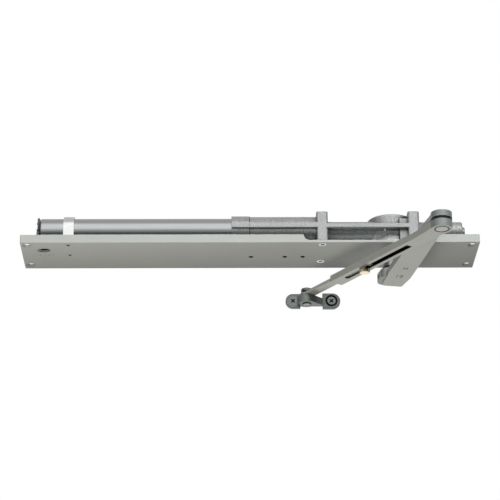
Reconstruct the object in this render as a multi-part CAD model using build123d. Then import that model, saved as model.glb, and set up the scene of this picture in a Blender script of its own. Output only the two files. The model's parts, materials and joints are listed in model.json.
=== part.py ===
from build123d import *
import math
import os

# Concealed overhead door closer, in millimetres.
# X runs along the mounting plate, Y across it and Z up into the door header.
# The origin is the centre of the plate's outer face, which looks down at the door.

# Mounting plate
plate_length = 533.4
plate_width = 79.4
plate_thickness = 3.0
lip_height = 10.0
lip_thickness = 2.6
lip_notch_start = 62.0
lip_notch_end = 214.0
lip_notch_radius = 6.8
plate_corner_radius = 1.0
frame_hole_inset_x = 7.7
frame_hole_inset_y = 9.7
frame_hole_radius = 3.6
frame_sink_radius = 5.8
adjuster_slot_start = -248.0
adjuster_slot_length = 15.2
adjuster_slot_width = 11.0
valve_hole_radius = 2.3
spindle_hole_radius = 12.5

# Cylinder and spindle axes
bore_y = -16.0
bore_z = 20.9
spindle_x = 166.0
spindle_y = -4.0

# Fits
running_clearance = 0.05
thread_clearance = 0.04
screw_clearance = 0.3
slide_clearance = 0.12
face_gap = 0.1

# Cross recess of the countersunk screws
cross_share = 1.15
cross_width = 1.1
cross_depth = 1.3
cross_angle = 30.0

# Cast body
body_left = -1.0
barrel_radius = 19.5
middle_radius = 13.6
right_radius = 13.2
right_end = 248.6
body_edge_radius = 1.5
flange_front = -38.5
flange_bottom = 19.5
flange_top_left = 26.3
flange_top_right = 24.8
bridge_width = 13.4
bridge_top = 39.5
bridge_back = 26.0
bridge_edge_radius = 2.8
bridge_left_x = 83.9
bridge_right_x = 190.5
housing_radius = 27.5
housing_edge_radius = 0.8
housing_top = 39.3
housing_bottom = 19.5
bearing_boss_radius = 22.0
bearing_foot_radius = 30.0
bearing_shoulder_radius = 25.5
bearing_shoulder_top = 15.0
pad_width = 9.3
pad_front = -33.0
pad_bottom = 6.0
pad_top = 33.0
piston_bore_radius = 15.5
piston_bore_end = 80.0
rod_bore_radius = 9.7
rod_bore_end = 240.0
chamber_radius = 13.2
chamber_bottom = 11.0
chamber_top = 31.0
body_screw_y_near = -32.5
body_screw_y_far = 19.0
body_screw_depth = 15.0
body_screw_radius = 2.5
body_sink_radius = 4.4

# Regulating valves
valve_y = 4.7
valve_x = {"backcheck_valve": 1.3, "closing_speed_valve": 41.2, "latch_valve": 62.3}
valve_radius = 2.6
valve_length = 8.0
valve_recess = 3.5
valve_needle = 1.6
valve_needle_tip = 0.8
valve_end_room = 2.0
valve_block_front = -1.0
valve_block_back = 10.0
valve_block_top = 18.5
valve_block_start = -6.5
valve_block_end = 72.0
valve_slot_width = 0.9
valve_slot_depth = 1.1

# Spring tube, its collar and strap
tube_left = -245.0
tube_right = -3.0
tube_radius = 17.5
tube_wall = 2.0
tube_end_wall = 2.5
tube_end_radius = 2.6
collar_left = -21.6
collar_radius = 20.3
collar_flange_top = 27.4
collar_lip_radius = 15.6
seal_ring_radius = 0.7
saddle_gap = 0.6
saddle_length = 16.0
saddle_width = 9.0
strap_x = -211.2
strap_width = 12.2
strap_thickness = 2.0
strap_clearance = 0.3
strap_screw_offset = 15.3
strap_foot_height = 5.0
strap_screw_radius = 2.0
strap_sink_radius = 3.7

# Spring tension adjuster
adjuster_radius = 5.0
adjuster_right = -190.0
adjuster_pitch = 1.5
thrust_collar_radius = 9.0
thrust_collar_length = 4.0
thrust_washer_step = 1.0
adjuster_chamfer = 1.0
thrust_washer_thickness = 1.2
star_teeth = 26
star_tip_radius = 18.8
star_root_radius = 16.4
star_thickness = 3.0
star_gap = 1.6
star_relief_depth = 1.3
star_relief_width = 17.0
star_relief_margin = 0.7
seat_left = -214.0
seat_thickness = 6.0
seat_nut_radius = 9.0
seat_nut_length = 14.0
seat_key_width = 4.0
seat_key_depth = 3.0

# Closing spring
wire_radius = 2.0
coil_mean_radius = 11.4
coil_pitch = 15.0

# Piston, rack and pinion
piston_length = 40.0
piston_stop_gap = 0.2
piston_crown = 8.0
piston_wall = 1.6
rod_radius = 9.6
rod_right = 214.0
seal_groove_depth = 2.0
seal_groove_width = 3.0
seal_groove_inset = 6.0
check_valve_radius = 1.6
check_valve_offset = 11.5
gear_module = 1.5
pinion_teeth = 14
pressure_angle = 25.0
addendum = 1.2
dedendum = 1.6
gear_backlash = 0.12
rack_teeth_each_side = 7
pinion_bottom = 12.5
pinion_top = 29.5
upper_journal_radius = 8.0
upper_journal_top = 36.0
lower_bush_wall = 2.5
lower_bush_bottom = 6.2
seal_bottom = 3.4
upper_bush_wall = 3.0
cap_radius = 16.0
cap_top = 38.7
cap_bore_top = 36.4
spanner_hole_radius = 2.0
spanner_hole_offset = 11.5

# End plug
plug_radius = 7.0
plug_head_length = 3.2
plug_thread_radius = 5.8
plug_hex_flats = 6.0

# Spindle and main arm
spindle_radius = 9.525
spindle_shoulder_z = -22.4
square_size = 12.7
square_chamfer = 1.2
square_end_z = -34.0
main_arm_length = 190.0
main_arm_angle = -78.2
main_arm_bottom = -36.5
main_arm_thickness = 7.7
hub_top = -24.0
hub_half_width = 16.2
hub_back = -12.5
hub_front = 17.0
hub_corner_radius = 8.0
hub_edge_radius = 1.5
arm_back = -10.6
arm_corner_radius = 3.0
arm_left_edge = [(0.0, 14.5), (28.6, 17.0), (58.6, 15.7), (160.6, 11.3)]
arm_right_edge = [(140.6, -11.3), (98.6, -13.6), (40.6, -12.4), (0.0, -9.5)]
arm_tip_half_width = 10.4
arm_tip_start = 176.0
elbow_radius = 11.6
set_screw_radius = 2.5
set_screw_length = 9.0
set_screw_key = 2.5

# Elbow
elbow_pin_radius = 5.5
elbow_head_radius = 7.2
elbow_head_thickness = 0.9
elbow_washer_radius = 8.6
elbow_counterbore_depth = 0.9
elbow_gap = 1.6

# Forearm: slotted channel and sliding bar
forearm_length = 250.0
forearm_angle = 123.55
forearm_bottom = -47.5
forearm_thickness = 7.4
channel_width = 17.4
channel_wall = 2.6
channel_web = 2.2
channel_length = 192.5
channel_pocket_start = 46.0
channel_neck = 34.0
channel_corner_radius = 1.5
pocket_corner_radius = 3.0
slot_width = 6.4
slot_start = 57.0
slot_end = 173.0
bolt_position = 137.8
bolt_radius = 3.0
bolt_head_flats = 10.4
bolt_head_height = 5.0
bolt_head_chamfer = 0.6
bar_thickness = 3.8
bar_inner_end = 127.0
bar_eye_radius = 7.4
bar_corner_radius = 2.0

# Shoe
pivot_radius = 4.3
pivot_head_radius = 6.4
pivot_head_bottom = -39.0
pivot_head_top = -35.6
pivot_rivet_height = 0.9
pivot_edge_radius = 1.2
shoe_lug_radius = 10.5
shoe_lug_thickness = 8.7
shoe_edge_radius = 0.8
shoe_web_setback = 2.4
shoe_web_overlap = 2.0
shoe_washer_thickness = 0.3
shoe_washer_radius = 7.0
shoe_front = 3.6
shoe_thickness = 5.0
lobe_height_z = -48.8
lobe_left_offset = -16.0
lobe_right_offset = 30.4
lobe_right_screw = 29.4
lobe_left_radius = 8.7
lobe_right_radius = 9.4
lobe_left_inner = -7.3
lobe_right_inner = 18.9
shoe_screw_radius = 2.7
shoe_screw_neck_radius = 2.5
shoe_screw_neck_margin = 0.5
shoe_head_left_radius = 5.8
shoe_head_right_radius = 4.8
shoe_counterbore_radius = 7.2
shoe_screw_reach = 12.0
shoe_head_depth = 2.2
shoe_recess_width = 1.2
shoe_recess_length = 5.6

# Derived places
pitch_radius = gear_module * pinion_teeth / 2
pitch_line_y = spindle_y - pitch_radius
tube_bore_radius = tube_radius - tube_wall
main_arm_top = main_arm_bottom + main_arm_thickness
forearm_top = forearm_bottom + forearm_thickness
elbow_boss_top = main_arm_bottom - elbow_gap
bar_bottom = forearm_bottom + channel_web + face_gap
bar_top = bar_bottom + bar_thickness
bar_width = channel_width - 2 * channel_wall - 2 * slide_clearance
elbow_x = spindle_x + main_arm_length * math.cos(math.radians(main_arm_angle))
elbow_y = spindle_y + main_arm_length * math.sin(math.radians(main_arm_angle))
pivot_x = elbow_x + forearm_length * math.cos(math.radians(forearm_angle))
pivot_y = elbow_y + forearm_length * math.sin(math.radians(forearm_angle))
lug_top = bar_bottom - shoe_washer_thickness - face_gap
lug_bottom = lug_top - shoe_lug_thickness
frame_hole_x = plate_length / 2 - frame_hole_inset_x
frame_hole_y = plate_width / 2 - frame_hole_inset_y
piston_right = piston_bore_end - piston_stop_gap
piston_left = piston_right - piston_length
seat_right = seat_left + seat_thickness
star_right = tube_left - star_gap
star_left = star_right - star_thickness

parts = {}


def block(x0, x1, y0, y1, z0, z1):
    return Pos((x0 + x1) / 2, (y0 + y1) / 2, (z0 + z1) / 2) * Box(x1 - x0, y1 - y0, z1 - z0)


def post(x, y, radius, z0, z1):
    return Pos(x, y, (z0 + z1) / 2) * Cylinder(radius, z1 - z0)


def barrel(radius, x0, x1):
    """A round bar on the cylinder axis."""
    return Pos((x0 + x1) / 2, bore_y, bore_z) * Rot(0, 90, 0) * Cylinder(radius, x1 - x0)


def pin_y(x, z, radius, y0, y1):
    return Pos(x, (y0 + y1) / 2, z) * Rot(90, 0, 0) * Cylinder(radius, y1 - y0)


def sink(x, y, hole_radius, head_radius):
    """A through hole with a 90 degree countersink in the plate's outer face."""
    depth = head_radius - hole_radius
    cone = Pos(x, y, depth / 2) * Cone(head_radius, hole_radius, depth)
    return post(x, y, hole_radius, 0, plate_thickness) + cone


def flat_screw(x, y, shank_radius, head_radius, top):
    """A countersunk screw from below, flush with the plate, with a cross recess."""
    depth = head_radius - shank_radius
    head = Pos(x, y, depth / 2) * Cone(head_radius, shank_radius, depth)
    length = head_radius * cross_share
    recess = Box(length, cross_width, 2 * cross_depth) + Box(cross_width, length, 2 * cross_depth)
    return head + post(x, y, shank_radius, depth / 2, top) - Pos(x, y, 0) * Rot(0, 0, cross_angle) * recess


def on_main_arm(shape):
    return Pos(spindle_x, spindle_y, 0) * Rot(0, 0, main_arm_angle) * shape


def on_forearm(shape):
    return Pos(elbow_x, elbow_y, 0) * Rot(0, 0, forearm_angle) * shape


def slab(points, z0, z1, corner=0.0):
    """A flat piece from a closed outline, with its corners rounded."""
    face = make_face(Polyline(*points, close=True))
    if corner:
        face = fillet(face.vertices(), corner)
    return extrude(Pos(0, 0, z0) * face, z1 - z0)


def mounting_plate():
    half_length = plate_length / 2
    half_width = plate_width / 2
    base = block(-half_length, half_length, -half_width, half_width, 0, plate_thickness)
    base = fillet(base.edges().filter_by(Axis.Z), plate_corner_radius)
    lip = block(-half_length, half_length, -half_width, lip_thickness - half_width, 0, lip_height)
    lip = fillet(lip.edges().filter_by(Axis.Z).group_by(Axis.Y)[0], plate_corner_radius)
    overrun = lip_height
    notch = block(lip_notch_start, lip_notch_end, -half_width - 1, lip_thickness - half_width,
                  plate_thickness, lip_height + overrun)
    notch = fillet(notch.edges().filter_by(Axis.Y).group_by(Axis.Z)[0], lip_notch_radius)
    plate = base + lip - notch
    for x in (-frame_hole_x, frame_hole_x):
        for y in (-frame_hole_y, frame_hole_y):
            plate -= sink(x, y, frame_hole_radius, frame_sink_radius)
    for y in (bore_y - strap_screw_offset, bore_y + strap_screw_offset):
        plate -= sink(strap_x, y, strap_screw_radius + screw_clearance, strap_sink_radius + screw_clearance)
    for x in (bridge_left_x, bridge_right_x):
        for y in (body_screw_y_near, body_screw_y_far):
            plate -= sink(x, y, body_screw_radius + screw_clearance, body_sink_radius + screw_clearance)
    for x in valve_x.values():
        plate -= post(x, valve_y, valve_hole_radius, 0, plate_thickness)
    slot_x = adjuster_slot_start + adjuster_slot_length / 2
    slot = extrude(SlotOverall(adjuster_slot_length, adjuster_slot_width), plate_thickness)
    plate -= Pos(slot_x, bore_y, 0) * slot
    plate -= post(spindle_x, spindle_y, spindle_hole_radius, 0, plate_thickness)
    plate -= block(star_left - star_relief_margin, star_right + star_relief_margin, bore_y - star_relief_width / 2,
                   bore_y + star_relief_width / 2, plate_thickness - star_relief_depth, plate_thickness)
    return plate


def bridge(x):
    """A rib across the casting that takes two of the body screws."""
    rib = block(x - bridge_width / 2, x + bridge_width / 2, flange_front, bridge_back,
                plate_thickness, bridge_top)
    return fillet(rib.edges().filter_by(Axis.Z), bridge_edge_radius)


def closer_body():
    mid = (body_left + bridge_left_x) / 2
    body = barrel(barrel_radius, body_left, bridge_left_x)
    body += barrel(middle_radius, bridge_left_x, spindle_x)
    right = barrel(right_radius, spindle_x, right_end)
    body += fillet(right.edges().group_by(Axis.X)[-1], body_edge_radius)
    body += block(body_left, bridge_left_x, flange_front, bore_y, flange_bottom, flange_top_left)
    body += block(bridge_left_x, bridge_right_x, flange_front, bore_y, flange_bottom, flange_top_right)
    housing = post(spindle_x, spindle_y, housing_radius, housing_bottom, housing_top)
    body += fillet(housing.edges().group_by(Axis.Z)[-1], housing_edge_radius)
    foot_height = bearing_shoulder_top - plate_thickness
    foot = Cone(bearing_foot_radius, bearing_shoulder_radius, foot_height)
    body += Pos(spindle_x, spindle_y, plate_thickness + foot_height / 2) * foot
    body += post(spindle_x, spindle_y, bearing_boss_radius, plate_thickness, housing_bottom)
    pad_right = bridge_right_x - bridge_width / 2 + bridge_edge_radius
    pad = block(bridge_right_x - bridge_width / 2 - pad_width, pad_right, pad_front, bore_y, pad_bottom, pad_top)
    body += pad
    body += block(valve_block_start, valve_block_end, valve_block_front, valve_block_back,
                  plate_thickness, valve_block_top)
    body += bridge(bridge_left_x) + bridge(bridge_right_x)
    above_plate = block(valve_block_start - 1, right_end + 1, flange_front - 1,
                        housing_radius + bridge_back, plate_thickness, housing_top + barrel_radius)
    body = body & above_plate
    body -= barrel(collar_radius + screw_clearance, valve_block_start - 1, body_left)
    body -= barrel(piston_bore_radius, body_left, piston_bore_end)
    body -= barrel(rod_bore_radius, body_left, rod_bore_end)
    body -= barrel(plug_thread_radius + thread_clearance, rod_bore_end, right_end)
    body -= post(spindle_x, spindle_y, chamber_radius, chamber_bottom, chamber_top)
    body -= post(spindle_x, spindle_y, cap_radius + thread_clearance, chamber_top, housing_top)
    body -= post(spindle_x, spindle_y, spindle_radius + lower_bush_wall + thread_clearance,
                 plate_thickness, chamber_bottom)
    for x in (bridge_left_x, bridge_right_x):
        for y in (body_screw_y_near, body_screw_y_far):
            body -= post(x, y, body_screw_radius + thread_clearance, plate_thickness,
                         plate_thickness + body_screw_depth)
    for x in valve_x.values():
        body -= post(x, valve_y, valve_radius + running_clearance, plate_thickness,
                     plate_thickness + valve_recess + valve_length + valve_end_room)
    return body


def valve(x):
    """A regulating screw with a needle point above and a screwdriver slot below."""
    bottom = plate_thickness + valve_recess
    shoulder = bottom + valve_length - valve_needle
    stem = post(x, valve_y, valve_radius, bottom, shoulder)
    point = Pos(x, valve_y, shoulder + valve_needle / 2) * Cone(valve_radius, valve_needle_tip, valve_needle)
    slot = Pos(x, valve_y, bottom) * Box(2 * valve_radius, valve_slot_width, 2 * valve_slot_depth)
    return stem + point - slot


def tube_collar():
    collar = barrel(collar_radius, collar_left, body_left)
    collar += block(collar_left, body_left, flange_front, bore_y, flange_bottom, collar_flange_top)
    collar = collar & block(collar_left, body_left, flange_front, bore_y + collar_radius,
                            plate_thickness, bore_z + collar_radius)
    collar -= barrel(tube_radius + thread_clearance, collar_left, tube_right)
    collar -= barrel(collar_lip_radius, tube_right, body_left)
    return collar - seal_torus(thread_clearance)


def seal_torus(clearance):
    """The round ring in the collar that seals the tube's end face."""
    ring = Torus(tube_bore_radius + tube_wall / 2, seal_ring_radius + clearance)
    return Pos(tube_right + seal_ring_radius, bore_y, bore_z) * Rot(0, 90, 0) * ring


def spring_tube():
    tube = barrel(tube_radius, tube_left, tube_right)
    tube = fillet(tube.edges().group_by(Axis.X)[0], tube_end_radius)
    tube -= barrel(tube_bore_radius, tube_left + tube_end_wall, tube_right)
    tube -= barrel(adjuster_radius + running_clearance, tube_left, tube_right)
    return tube


def tube_strap():
    inner = tube_radius + strap_clearance
    outer = inner + strap_thickness
    x0 = strap_x - strap_width / 2
    x1 = strap_x + strap_width / 2
    strap = barrel(outer, x0, x1) & block(x0, x1, bore_y - outer, bore_y + outer, bore_z, bore_z + outer)
    strap += block(x0, x1, bore_y - outer, bore_y + outer, plate_thickness, bore_z)
    inside = barrel(inner, x0, x1)
    inside += block(x0, x1, bore_y - inner, bore_y + inner, plate_thickness + strap_foot_height, bore_z)
    gap = strap_screw_offset - strap_sink_radius
    inside += block(x0, x1, bore_y - gap, bore_y + gap, plate_thickness, bore_z)
    strap -= inside
    for y in (bore_y - strap_screw_offset, bore_y + strap_screw_offset):
        strap -= post(strap_x, y, strap_screw_radius + thread_clearance, plate_thickness,
                      plate_thickness + strap_foot_height)
    return strap


def tube_saddle():
    """A rubber block that keeps the tube's end from rattling on the plate."""
    y0 = bore_y + adjuster_slot_width / 2 + saddle_gap
    x0 = tube_left + tube_end_radius
    saddle = block(x0, x0 + saddle_length, y0, y0 + saddle_width, plate_thickness, bore_z)
    return saddle - barrel(tube_radius + face_gap / 2, x0, x0 + saddle_length)


def strap_screws():
    top = plate_thickness + strap_foot_height
    near = flat_screw(strap_x, bore_y - strap_screw_offset, strap_screw_radius, strap_sink_radius, top)
    far = flat_screw(strap_x, bore_y + strap_screw_offset, strap_screw_radius, strap_sink_radius, top)
    return Compound([near.solid(), far.solid()])


def body_screws():
    top = plate_thickness + body_screw_depth - 1
    screws = []
    for x in (bridge_left_x, bridge_right_x):
        for y in (body_screw_y_near, body_screw_y_far):
            screws.append(flat_screw(x, y, body_screw_radius, body_sink_radius, top).solid())
    return Compound(screws)


def adjusting_screw():
    screw = barrel(adjuster_radius, star_left, adjuster_right)
    collar_x = tube_left + tube_end_wall + thrust_washer_thickness
    screw += barrel(thrust_collar_radius, collar_x, collar_x + thrust_collar_length)
    return chamfer(screw.edges().group_by(Axis.X)[-1], adjuster_chamfer)


def thrust_washer():
    x0 = tube_left + tube_end_wall + face_gap
    x1 = tube_left + tube_end_wall + thrust_washer_thickness
    return barrel(thrust_collar_radius + thrust_washer_step, x0, x1) - barrel(adjuster_radius + thread_clearance, x0, x1)


def star_wheel():
    """A thin wheel whose teeth take a screwdriver tip through the plate's slot."""
    points = []
    for tooth in range(star_teeth):
        for share, radius in ((0.0, star_root_radius), (0.28, star_root_radius),
                              (0.5, star_tip_radius), (0.78, star_tip_radius)):
            angle = 2 * math.pi * (tooth + share) / star_teeth
            points.append((radius * math.cos(angle), radius * math.sin(angle)))
    wheel = slab(points, -star_thickness / 2, star_thickness / 2)
    wheel = Pos((star_left + star_right) / 2, bore_y, bore_z) * Rot(0, 90, 0) * wheel
    return wheel - barrel(adjuster_radius + thread_clearance, star_left, star_right)


def spring_seat():
    seat = barrel(tube_bore_radius - slide_clearance, seat_left, seat_right)
    seat += barrel(seat_nut_radius, seat_left - seat_nut_length, seat_left)
    key = block(seat_left, seat_right, bore_y - seat_key_width / 2, bore_y + seat_key_width / 2,
                bore_z + tube_bore_radius - seat_key_depth, bore_z + tube_radius)
    seat -= key
    return seat - barrel(adjuster_radius + running_clearance, seat_left - seat_nut_length, seat_right)


def closing_spring():
    start = seat_right + wire_radius + face_gap
    end = piston_right - piston_crown - wire_radius - face_gap
    coil = Helix(coil_pitch, end - start, coil_mean_radius)
    section = Plane(origin=coil @ 0, z_dir=coil % 0) * Circle(wire_radius)
    spring = sweep(section, path=coil, is_frenet=True)
    return Pos(start, bore_y, bore_z) * Rot(0, 90, 0) * spring


def rack_outline():
    """The toothed side of the rack, with a tooth centred under the pinion axis."""
    pitch = math.pi * gear_module
    slope = math.tan(math.radians(pressure_angle))
    half = pitch / 4 - gear_backlash / 2
    points = []
    for tooth in range(-rack_teeth_each_side, rack_teeth_each_side + 1):
        x = spindle_x + tooth * pitch
        points.append((x - half - dedendum * slope, pitch_line_y - dedendum))
        points.append((x - half + addendum * slope, pitch_line_y + addendum))
        points.append((x + half - addendum * slope, pitch_line_y + addendum))
        points.append((x + half + dedendum * slope, pitch_line_y - dedendum))
    return points


def piston_rack():
    piston = barrel(piston_bore_radius - running_clearance, piston_left, piston_right)
    pocket_end = piston_right - piston_crown
    piston -= barrel(piston_bore_radius - running_clearance - piston_wall, piston_left, pocket_end)
    piston += barrel(rod_radius, pocket_end, rod_right)
    groove_x = piston_right - seal_groove_inset
    groove = barrel(piston_bore_radius, groove_x, groove_x + seal_groove_width)
    groove -= barrel(piston_bore_radius - seal_groove_depth, groove_x, groove_x + seal_groove_width)
    piston -= groove
    teeth = rack_outline()
    y_free = bore_y + rod_radius + 1
    cut = [(teeth[0][0], y_free)] + teeth + [(teeth[-1][0], y_free)]
    piston -= slab(cut, bore_z - rod_radius - 1, bore_z + rod_radius + 1)
    piston -= Pos(0, 0, check_valve_offset) * barrel(check_valve_radius, pocket_end, piston_right)
    return piston


def piston_seal():
    x0 = piston_right - seal_groove_inset + face_gap
    x1 = x0 + seal_groove_width - 2 * face_gap
    outer = barrel(piston_bore_radius - 0.02, x0, x1)
    return outer - barrel(piston_bore_radius - seal_groove_depth + 0.02, x0, x1)


def check_valve():
    return Pos(0, 0, check_valve_offset) * barrel(check_valve_radius - thread_clearance,
                                                  piston_right - piston_crown, piston_right)


def pinion_outline():
    """Involute teeth with a tooth space facing the rack."""
    base = pitch_radius * math.cos(math.radians(pressure_angle))
    tip = pitch_radius + addendum
    root = pitch_radius - dedendum
    at_pitch = math.radians(pressure_angle)
    half_at_pitch = math.pi / (2 * pinion_teeth) - gear_backlash / (2 * pitch_radius)
    flank = []
    steps = 4
    for step in range(steps + 1):
        radius = base + (tip - base) * step / steps
        angle = math.acos(base / radius)
        involute = (math.tan(at_pitch) - at_pitch) - (math.tan(angle) - angle)
        flank.append((radius, half_at_pitch + involute))
    flank = [(root, flank[0][1])] + flank
    points = []
    for tooth in range(pinion_teeth):
        middle = -math.pi / 2 + (tooth + 0.5) * 2 * math.pi / pinion_teeth
        for radius, half in flank:
            points.append((radius * math.cos(middle - half), radius * math.sin(middle - half)))
        for radius, half in reversed(flank):
            points.append((radius * math.cos(middle + half), radius * math.sin(middle + half)))
    return points


def pinion_shaft():
    gear = Pos(spindle_x, spindle_y, 0) * slab(pinion_outline(), pinion_bottom, pinion_top)
    shaft = gear + post(spindle_x, spindle_y, upper_journal_radius, pinion_top, upper_journal_top)
    shaft += post(spindle_x, spindle_y, pitch_radius - dedendum, chamber_bottom, pinion_bottom)
    shaft += post(spindle_x, spindle_y, spindle_radius, spindle_shoulder_z, chamber_bottom)
    end = Box(square_size, square_size, spindle_shoulder_z - square_end_z)
    end = chamfer(end.edges().filter_by(Axis.Z), square_chamfer)
    middle_z = (spindle_shoulder_z + square_end_z) / 2
    return shaft + on_main_arm(Pos(0, 0, middle_z) * end)


def lower_bush():
    z0 = lower_bush_bottom
    outer = post(spindle_x, spindle_y, spindle_radius + lower_bush_wall, z0, chamber_bottom)
    return outer - post(spindle_x, spindle_y, spindle_radius + running_clearance, z0, chamber_bottom)


def shaft_seal():
    z1 = lower_bush_bottom - face_gap
    outer = post(spindle_x, spindle_y, spindle_radius + lower_bush_wall, seal_bottom, z1)
    return outer - post(spindle_x, spindle_y, spindle_radius + running_clearance, seal_bottom, z1)


def upper_bush():
    outer = post(spindle_x, spindle_y, upper_journal_radius + upper_bush_wall, chamber_top, upper_journal_top)
    return outer - post(spindle_x, spindle_y, upper_journal_radius + running_clearance,
                        chamber_top, upper_journal_top)


def pinion_cap():
    cap = post(spindle_x, spindle_y, cap_radius, chamber_top, cap_top)
    cap -= post(spindle_x, spindle_y, upper_journal_radius + upper_bush_wall + thread_clearance,
                chamber_top, cap_bore_top)
    for side in (-1, 1):
        cap -= post(spindle_x + side * spanner_hole_offset, spindle_y, spanner_hole_radius,
                    cap_bore_top, cap_top)
    return cap


def end_plug():
    plug = barrel(plug_radius, right_end, right_end + plug_head_length)
    plug = fillet(plug.edges().group_by(Axis.X)[-1], body_edge_radius / 2)
    plug += barrel(plug_thread_radius, rod_bore_end, right_end)
    key = extrude(RegularPolygon(plug_hex_flats / 2, 6, major_radius=False), plug_head_length)
    return plug - Pos(right_end + face_gap, bore_y, bore_z) * Rot(0, 90, 0) * key


def main_arm():
    left = [(arm_back + u, v) for u, v in arm_left_edge]
    right = [(arm_back + u, v) for u, v in arm_right_edge]
    tip = [(arm_tip_start, arm_tip_half_width), (arm_tip_start, -arm_tip_half_width)]
    plate = slab(left + tip + right, main_arm_bottom, main_arm_top, arm_corner_radius)
    plate += post(main_arm_length, 0, elbow_radius, main_arm_bottom, main_arm_top)
    neck_start = arm_tip_start - 2 * elbow_radius
    neck = arm_tip_half_width - thread_clearance
    plate += block(neck_start, main_arm_length, -neck, neck, main_arm_bottom, main_arm_top)
    hub = slab([(hub_back, -hub_half_width), (hub_back, hub_half_width), (hub_front, hub_half_width),
                (hub_front, -hub_half_width)], main_arm_bottom + hub_edge_radius, hub_top, hub_corner_radius)
    hub = fillet(hub.edges().group_by(Axis.Z)[-1], hub_edge_radius)
    socket = Pos(0, 0, (hub_top + square_end_z) / 2) * Box(
        square_size + 2 * thread_clearance, square_size + 2 * thread_clearance, hub_top - square_end_z)
    arm = plate + hub - socket
    arm -= Pos(0, -hub_half_width, (hub_top + main_arm_bottom) / 2) * Rot(90, 0, 0) * Cylinder(
        set_screw_radius + thread_clearance, 2 * (hub_half_width - square_size / 2))
    arm -= post(main_arm_length, 0, elbow_pin_radius + running_clearance, main_arm_bottom, main_arm_top)
    return on_main_arm(arm)


def arm_set_screw():
    inner = -square_size / 2 - face_gap
    screw = Pos(0, inner - set_screw_length / 2, (hub_top + main_arm_bottom) / 2) * Rot(90, 0, 0) * Cylinder(
        set_screw_radius, set_screw_length)
    key = Pos(0, inner - set_screw_length, (hub_top + main_arm_bottom) / 2) * Rot(90, 0, 0) * extrude(
        RegularPolygon(set_screw_key / 2, 6, major_radius=False), set_screw_key, both=True)
    return on_main_arm(screw - key)


def elbow_pin():
    foot_top = forearm_bottom + elbow_counterbore_depth
    pin = post(elbow_x, elbow_y, elbow_pin_radius, foot_top, main_arm_top + face_gap)
    foot = post(elbow_x, elbow_y, elbow_head_radius, foot_top - elbow_head_thickness, foot_top)
    head = post(elbow_x, elbow_y, elbow_head_radius, main_arm_top + face_gap,
                main_arm_top + face_gap + elbow_head_thickness)
    head = fillet(head.edges().group_by(Axis.Z)[-1], elbow_head_thickness / 2)
    foot = fillet(foot.edges().group_by(Axis.Z)[0], elbow_head_thickness / 2)
    return pin + foot + head


def elbow_washer():
    z1 = main_arm_bottom - face_gap
    ring = post(elbow_x, elbow_y, elbow_washer_radius, elbow_boss_top, z1)
    return ring - post(elbow_x, elbow_y, elbow_pin_radius + thread_clearance, elbow_boss_top, z1)


def forearm_channel():
    half = channel_width / 2
    shoulder = elbow_radius * math.cos(math.asin((elbow_radius - half) / channel_neck))
    arm = slab([(0, -shoulder), (channel_neck, -half), (channel_length, -half),
                (channel_length, half), (channel_neck, half), (0, shoulder)], forearm_bottom, forearm_top)
    arm = fillet(arm.edges().filter_by(Axis.Z).group_by(Axis.X)[-1], channel_corner_radius)
    arm += post(0, 0, elbow_radius, forearm_bottom, elbow_boss_top)
    inner = half - channel_wall
    pocket = block(channel_pocket_start, channel_length + channel_wall, -inner, inner,
                   forearm_bottom + channel_web, bar_top + face_gap)
    arm -= fillet(pocket.edges().filter_by(Axis.Z).group_by(Axis.X)[0], pocket_corner_radius)
    slot = extrude(SlotOverall(slot_end - slot_start, slot_width), channel_web + face_gap)
    arm -= Pos((slot_start + slot_end) / 2, 0, forearm_bottom) * slot
    arm -= post(0, 0, elbow_pin_radius + thread_clearance, forearm_bottom, elbow_boss_top)
    arm -= post(0, 0, elbow_head_radius + screw_clearance, forearm_bottom, forearm_bottom + elbow_counterbore_depth)
    return on_forearm(arm)


def forearm_bar():
    half = bar_width / 2
    bar = block(bar_inner_end, forearm_length, -half, half, bar_bottom, bar_top)
    bar = fillet(bar.edges().filter_by(Axis.Z).group_by(Axis.X)[0], bar_corner_radius)
    bar += post(forearm_length, 0, bar_eye_radius, bar_bottom, bar_top)
    bar -= post(forearm_length, 0, pivot_radius + running_clearance, bar_bottom, bar_top)
    bar -= post(bolt_position, 0, bolt_radius + thread_clearance, bar_bottom, bar_top)
    return on_forearm(bar)


def clamp_bolt():
    head_top = forearm_bottom - face_gap
    head = Pos(bolt_position, 0, head_top - bolt_head_height) * extrude(
        RegularPolygon(bolt_head_flats / 2, 6, major_radius=False), bolt_head_height)
    corner_radius = bolt_head_flats / 2 / math.cos(math.radians(30))
    head &= Pos(bolt_position, 0, head_top - bolt_head_height / 2) * chamfer(
        Cylinder(corner_radius, bolt_head_height).edges().group_by(Axis.Z)[0], bolt_head_chamfer)
    bolt = head + post(bolt_position, 0, bolt_radius, head_top, bar_top)
    return on_forearm(bolt)


def lobe(offset, radius, inner):
    x = pivot_x + offset
    y0 = pivot_y + shoe_front
    y1 = y0 + shoe_thickness
    pad = pin_y(x, lobe_height_z, radius, y0, y1)
    low, high = sorted((x, pivot_x + inner))
    pad += block(low, high, y0, y1, lobe_height_z - radius, lobe_height_z + radius)
    return fillet(pad.edges().group_by(Axis.Y)[0], shoe_edge_radius)


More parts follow.
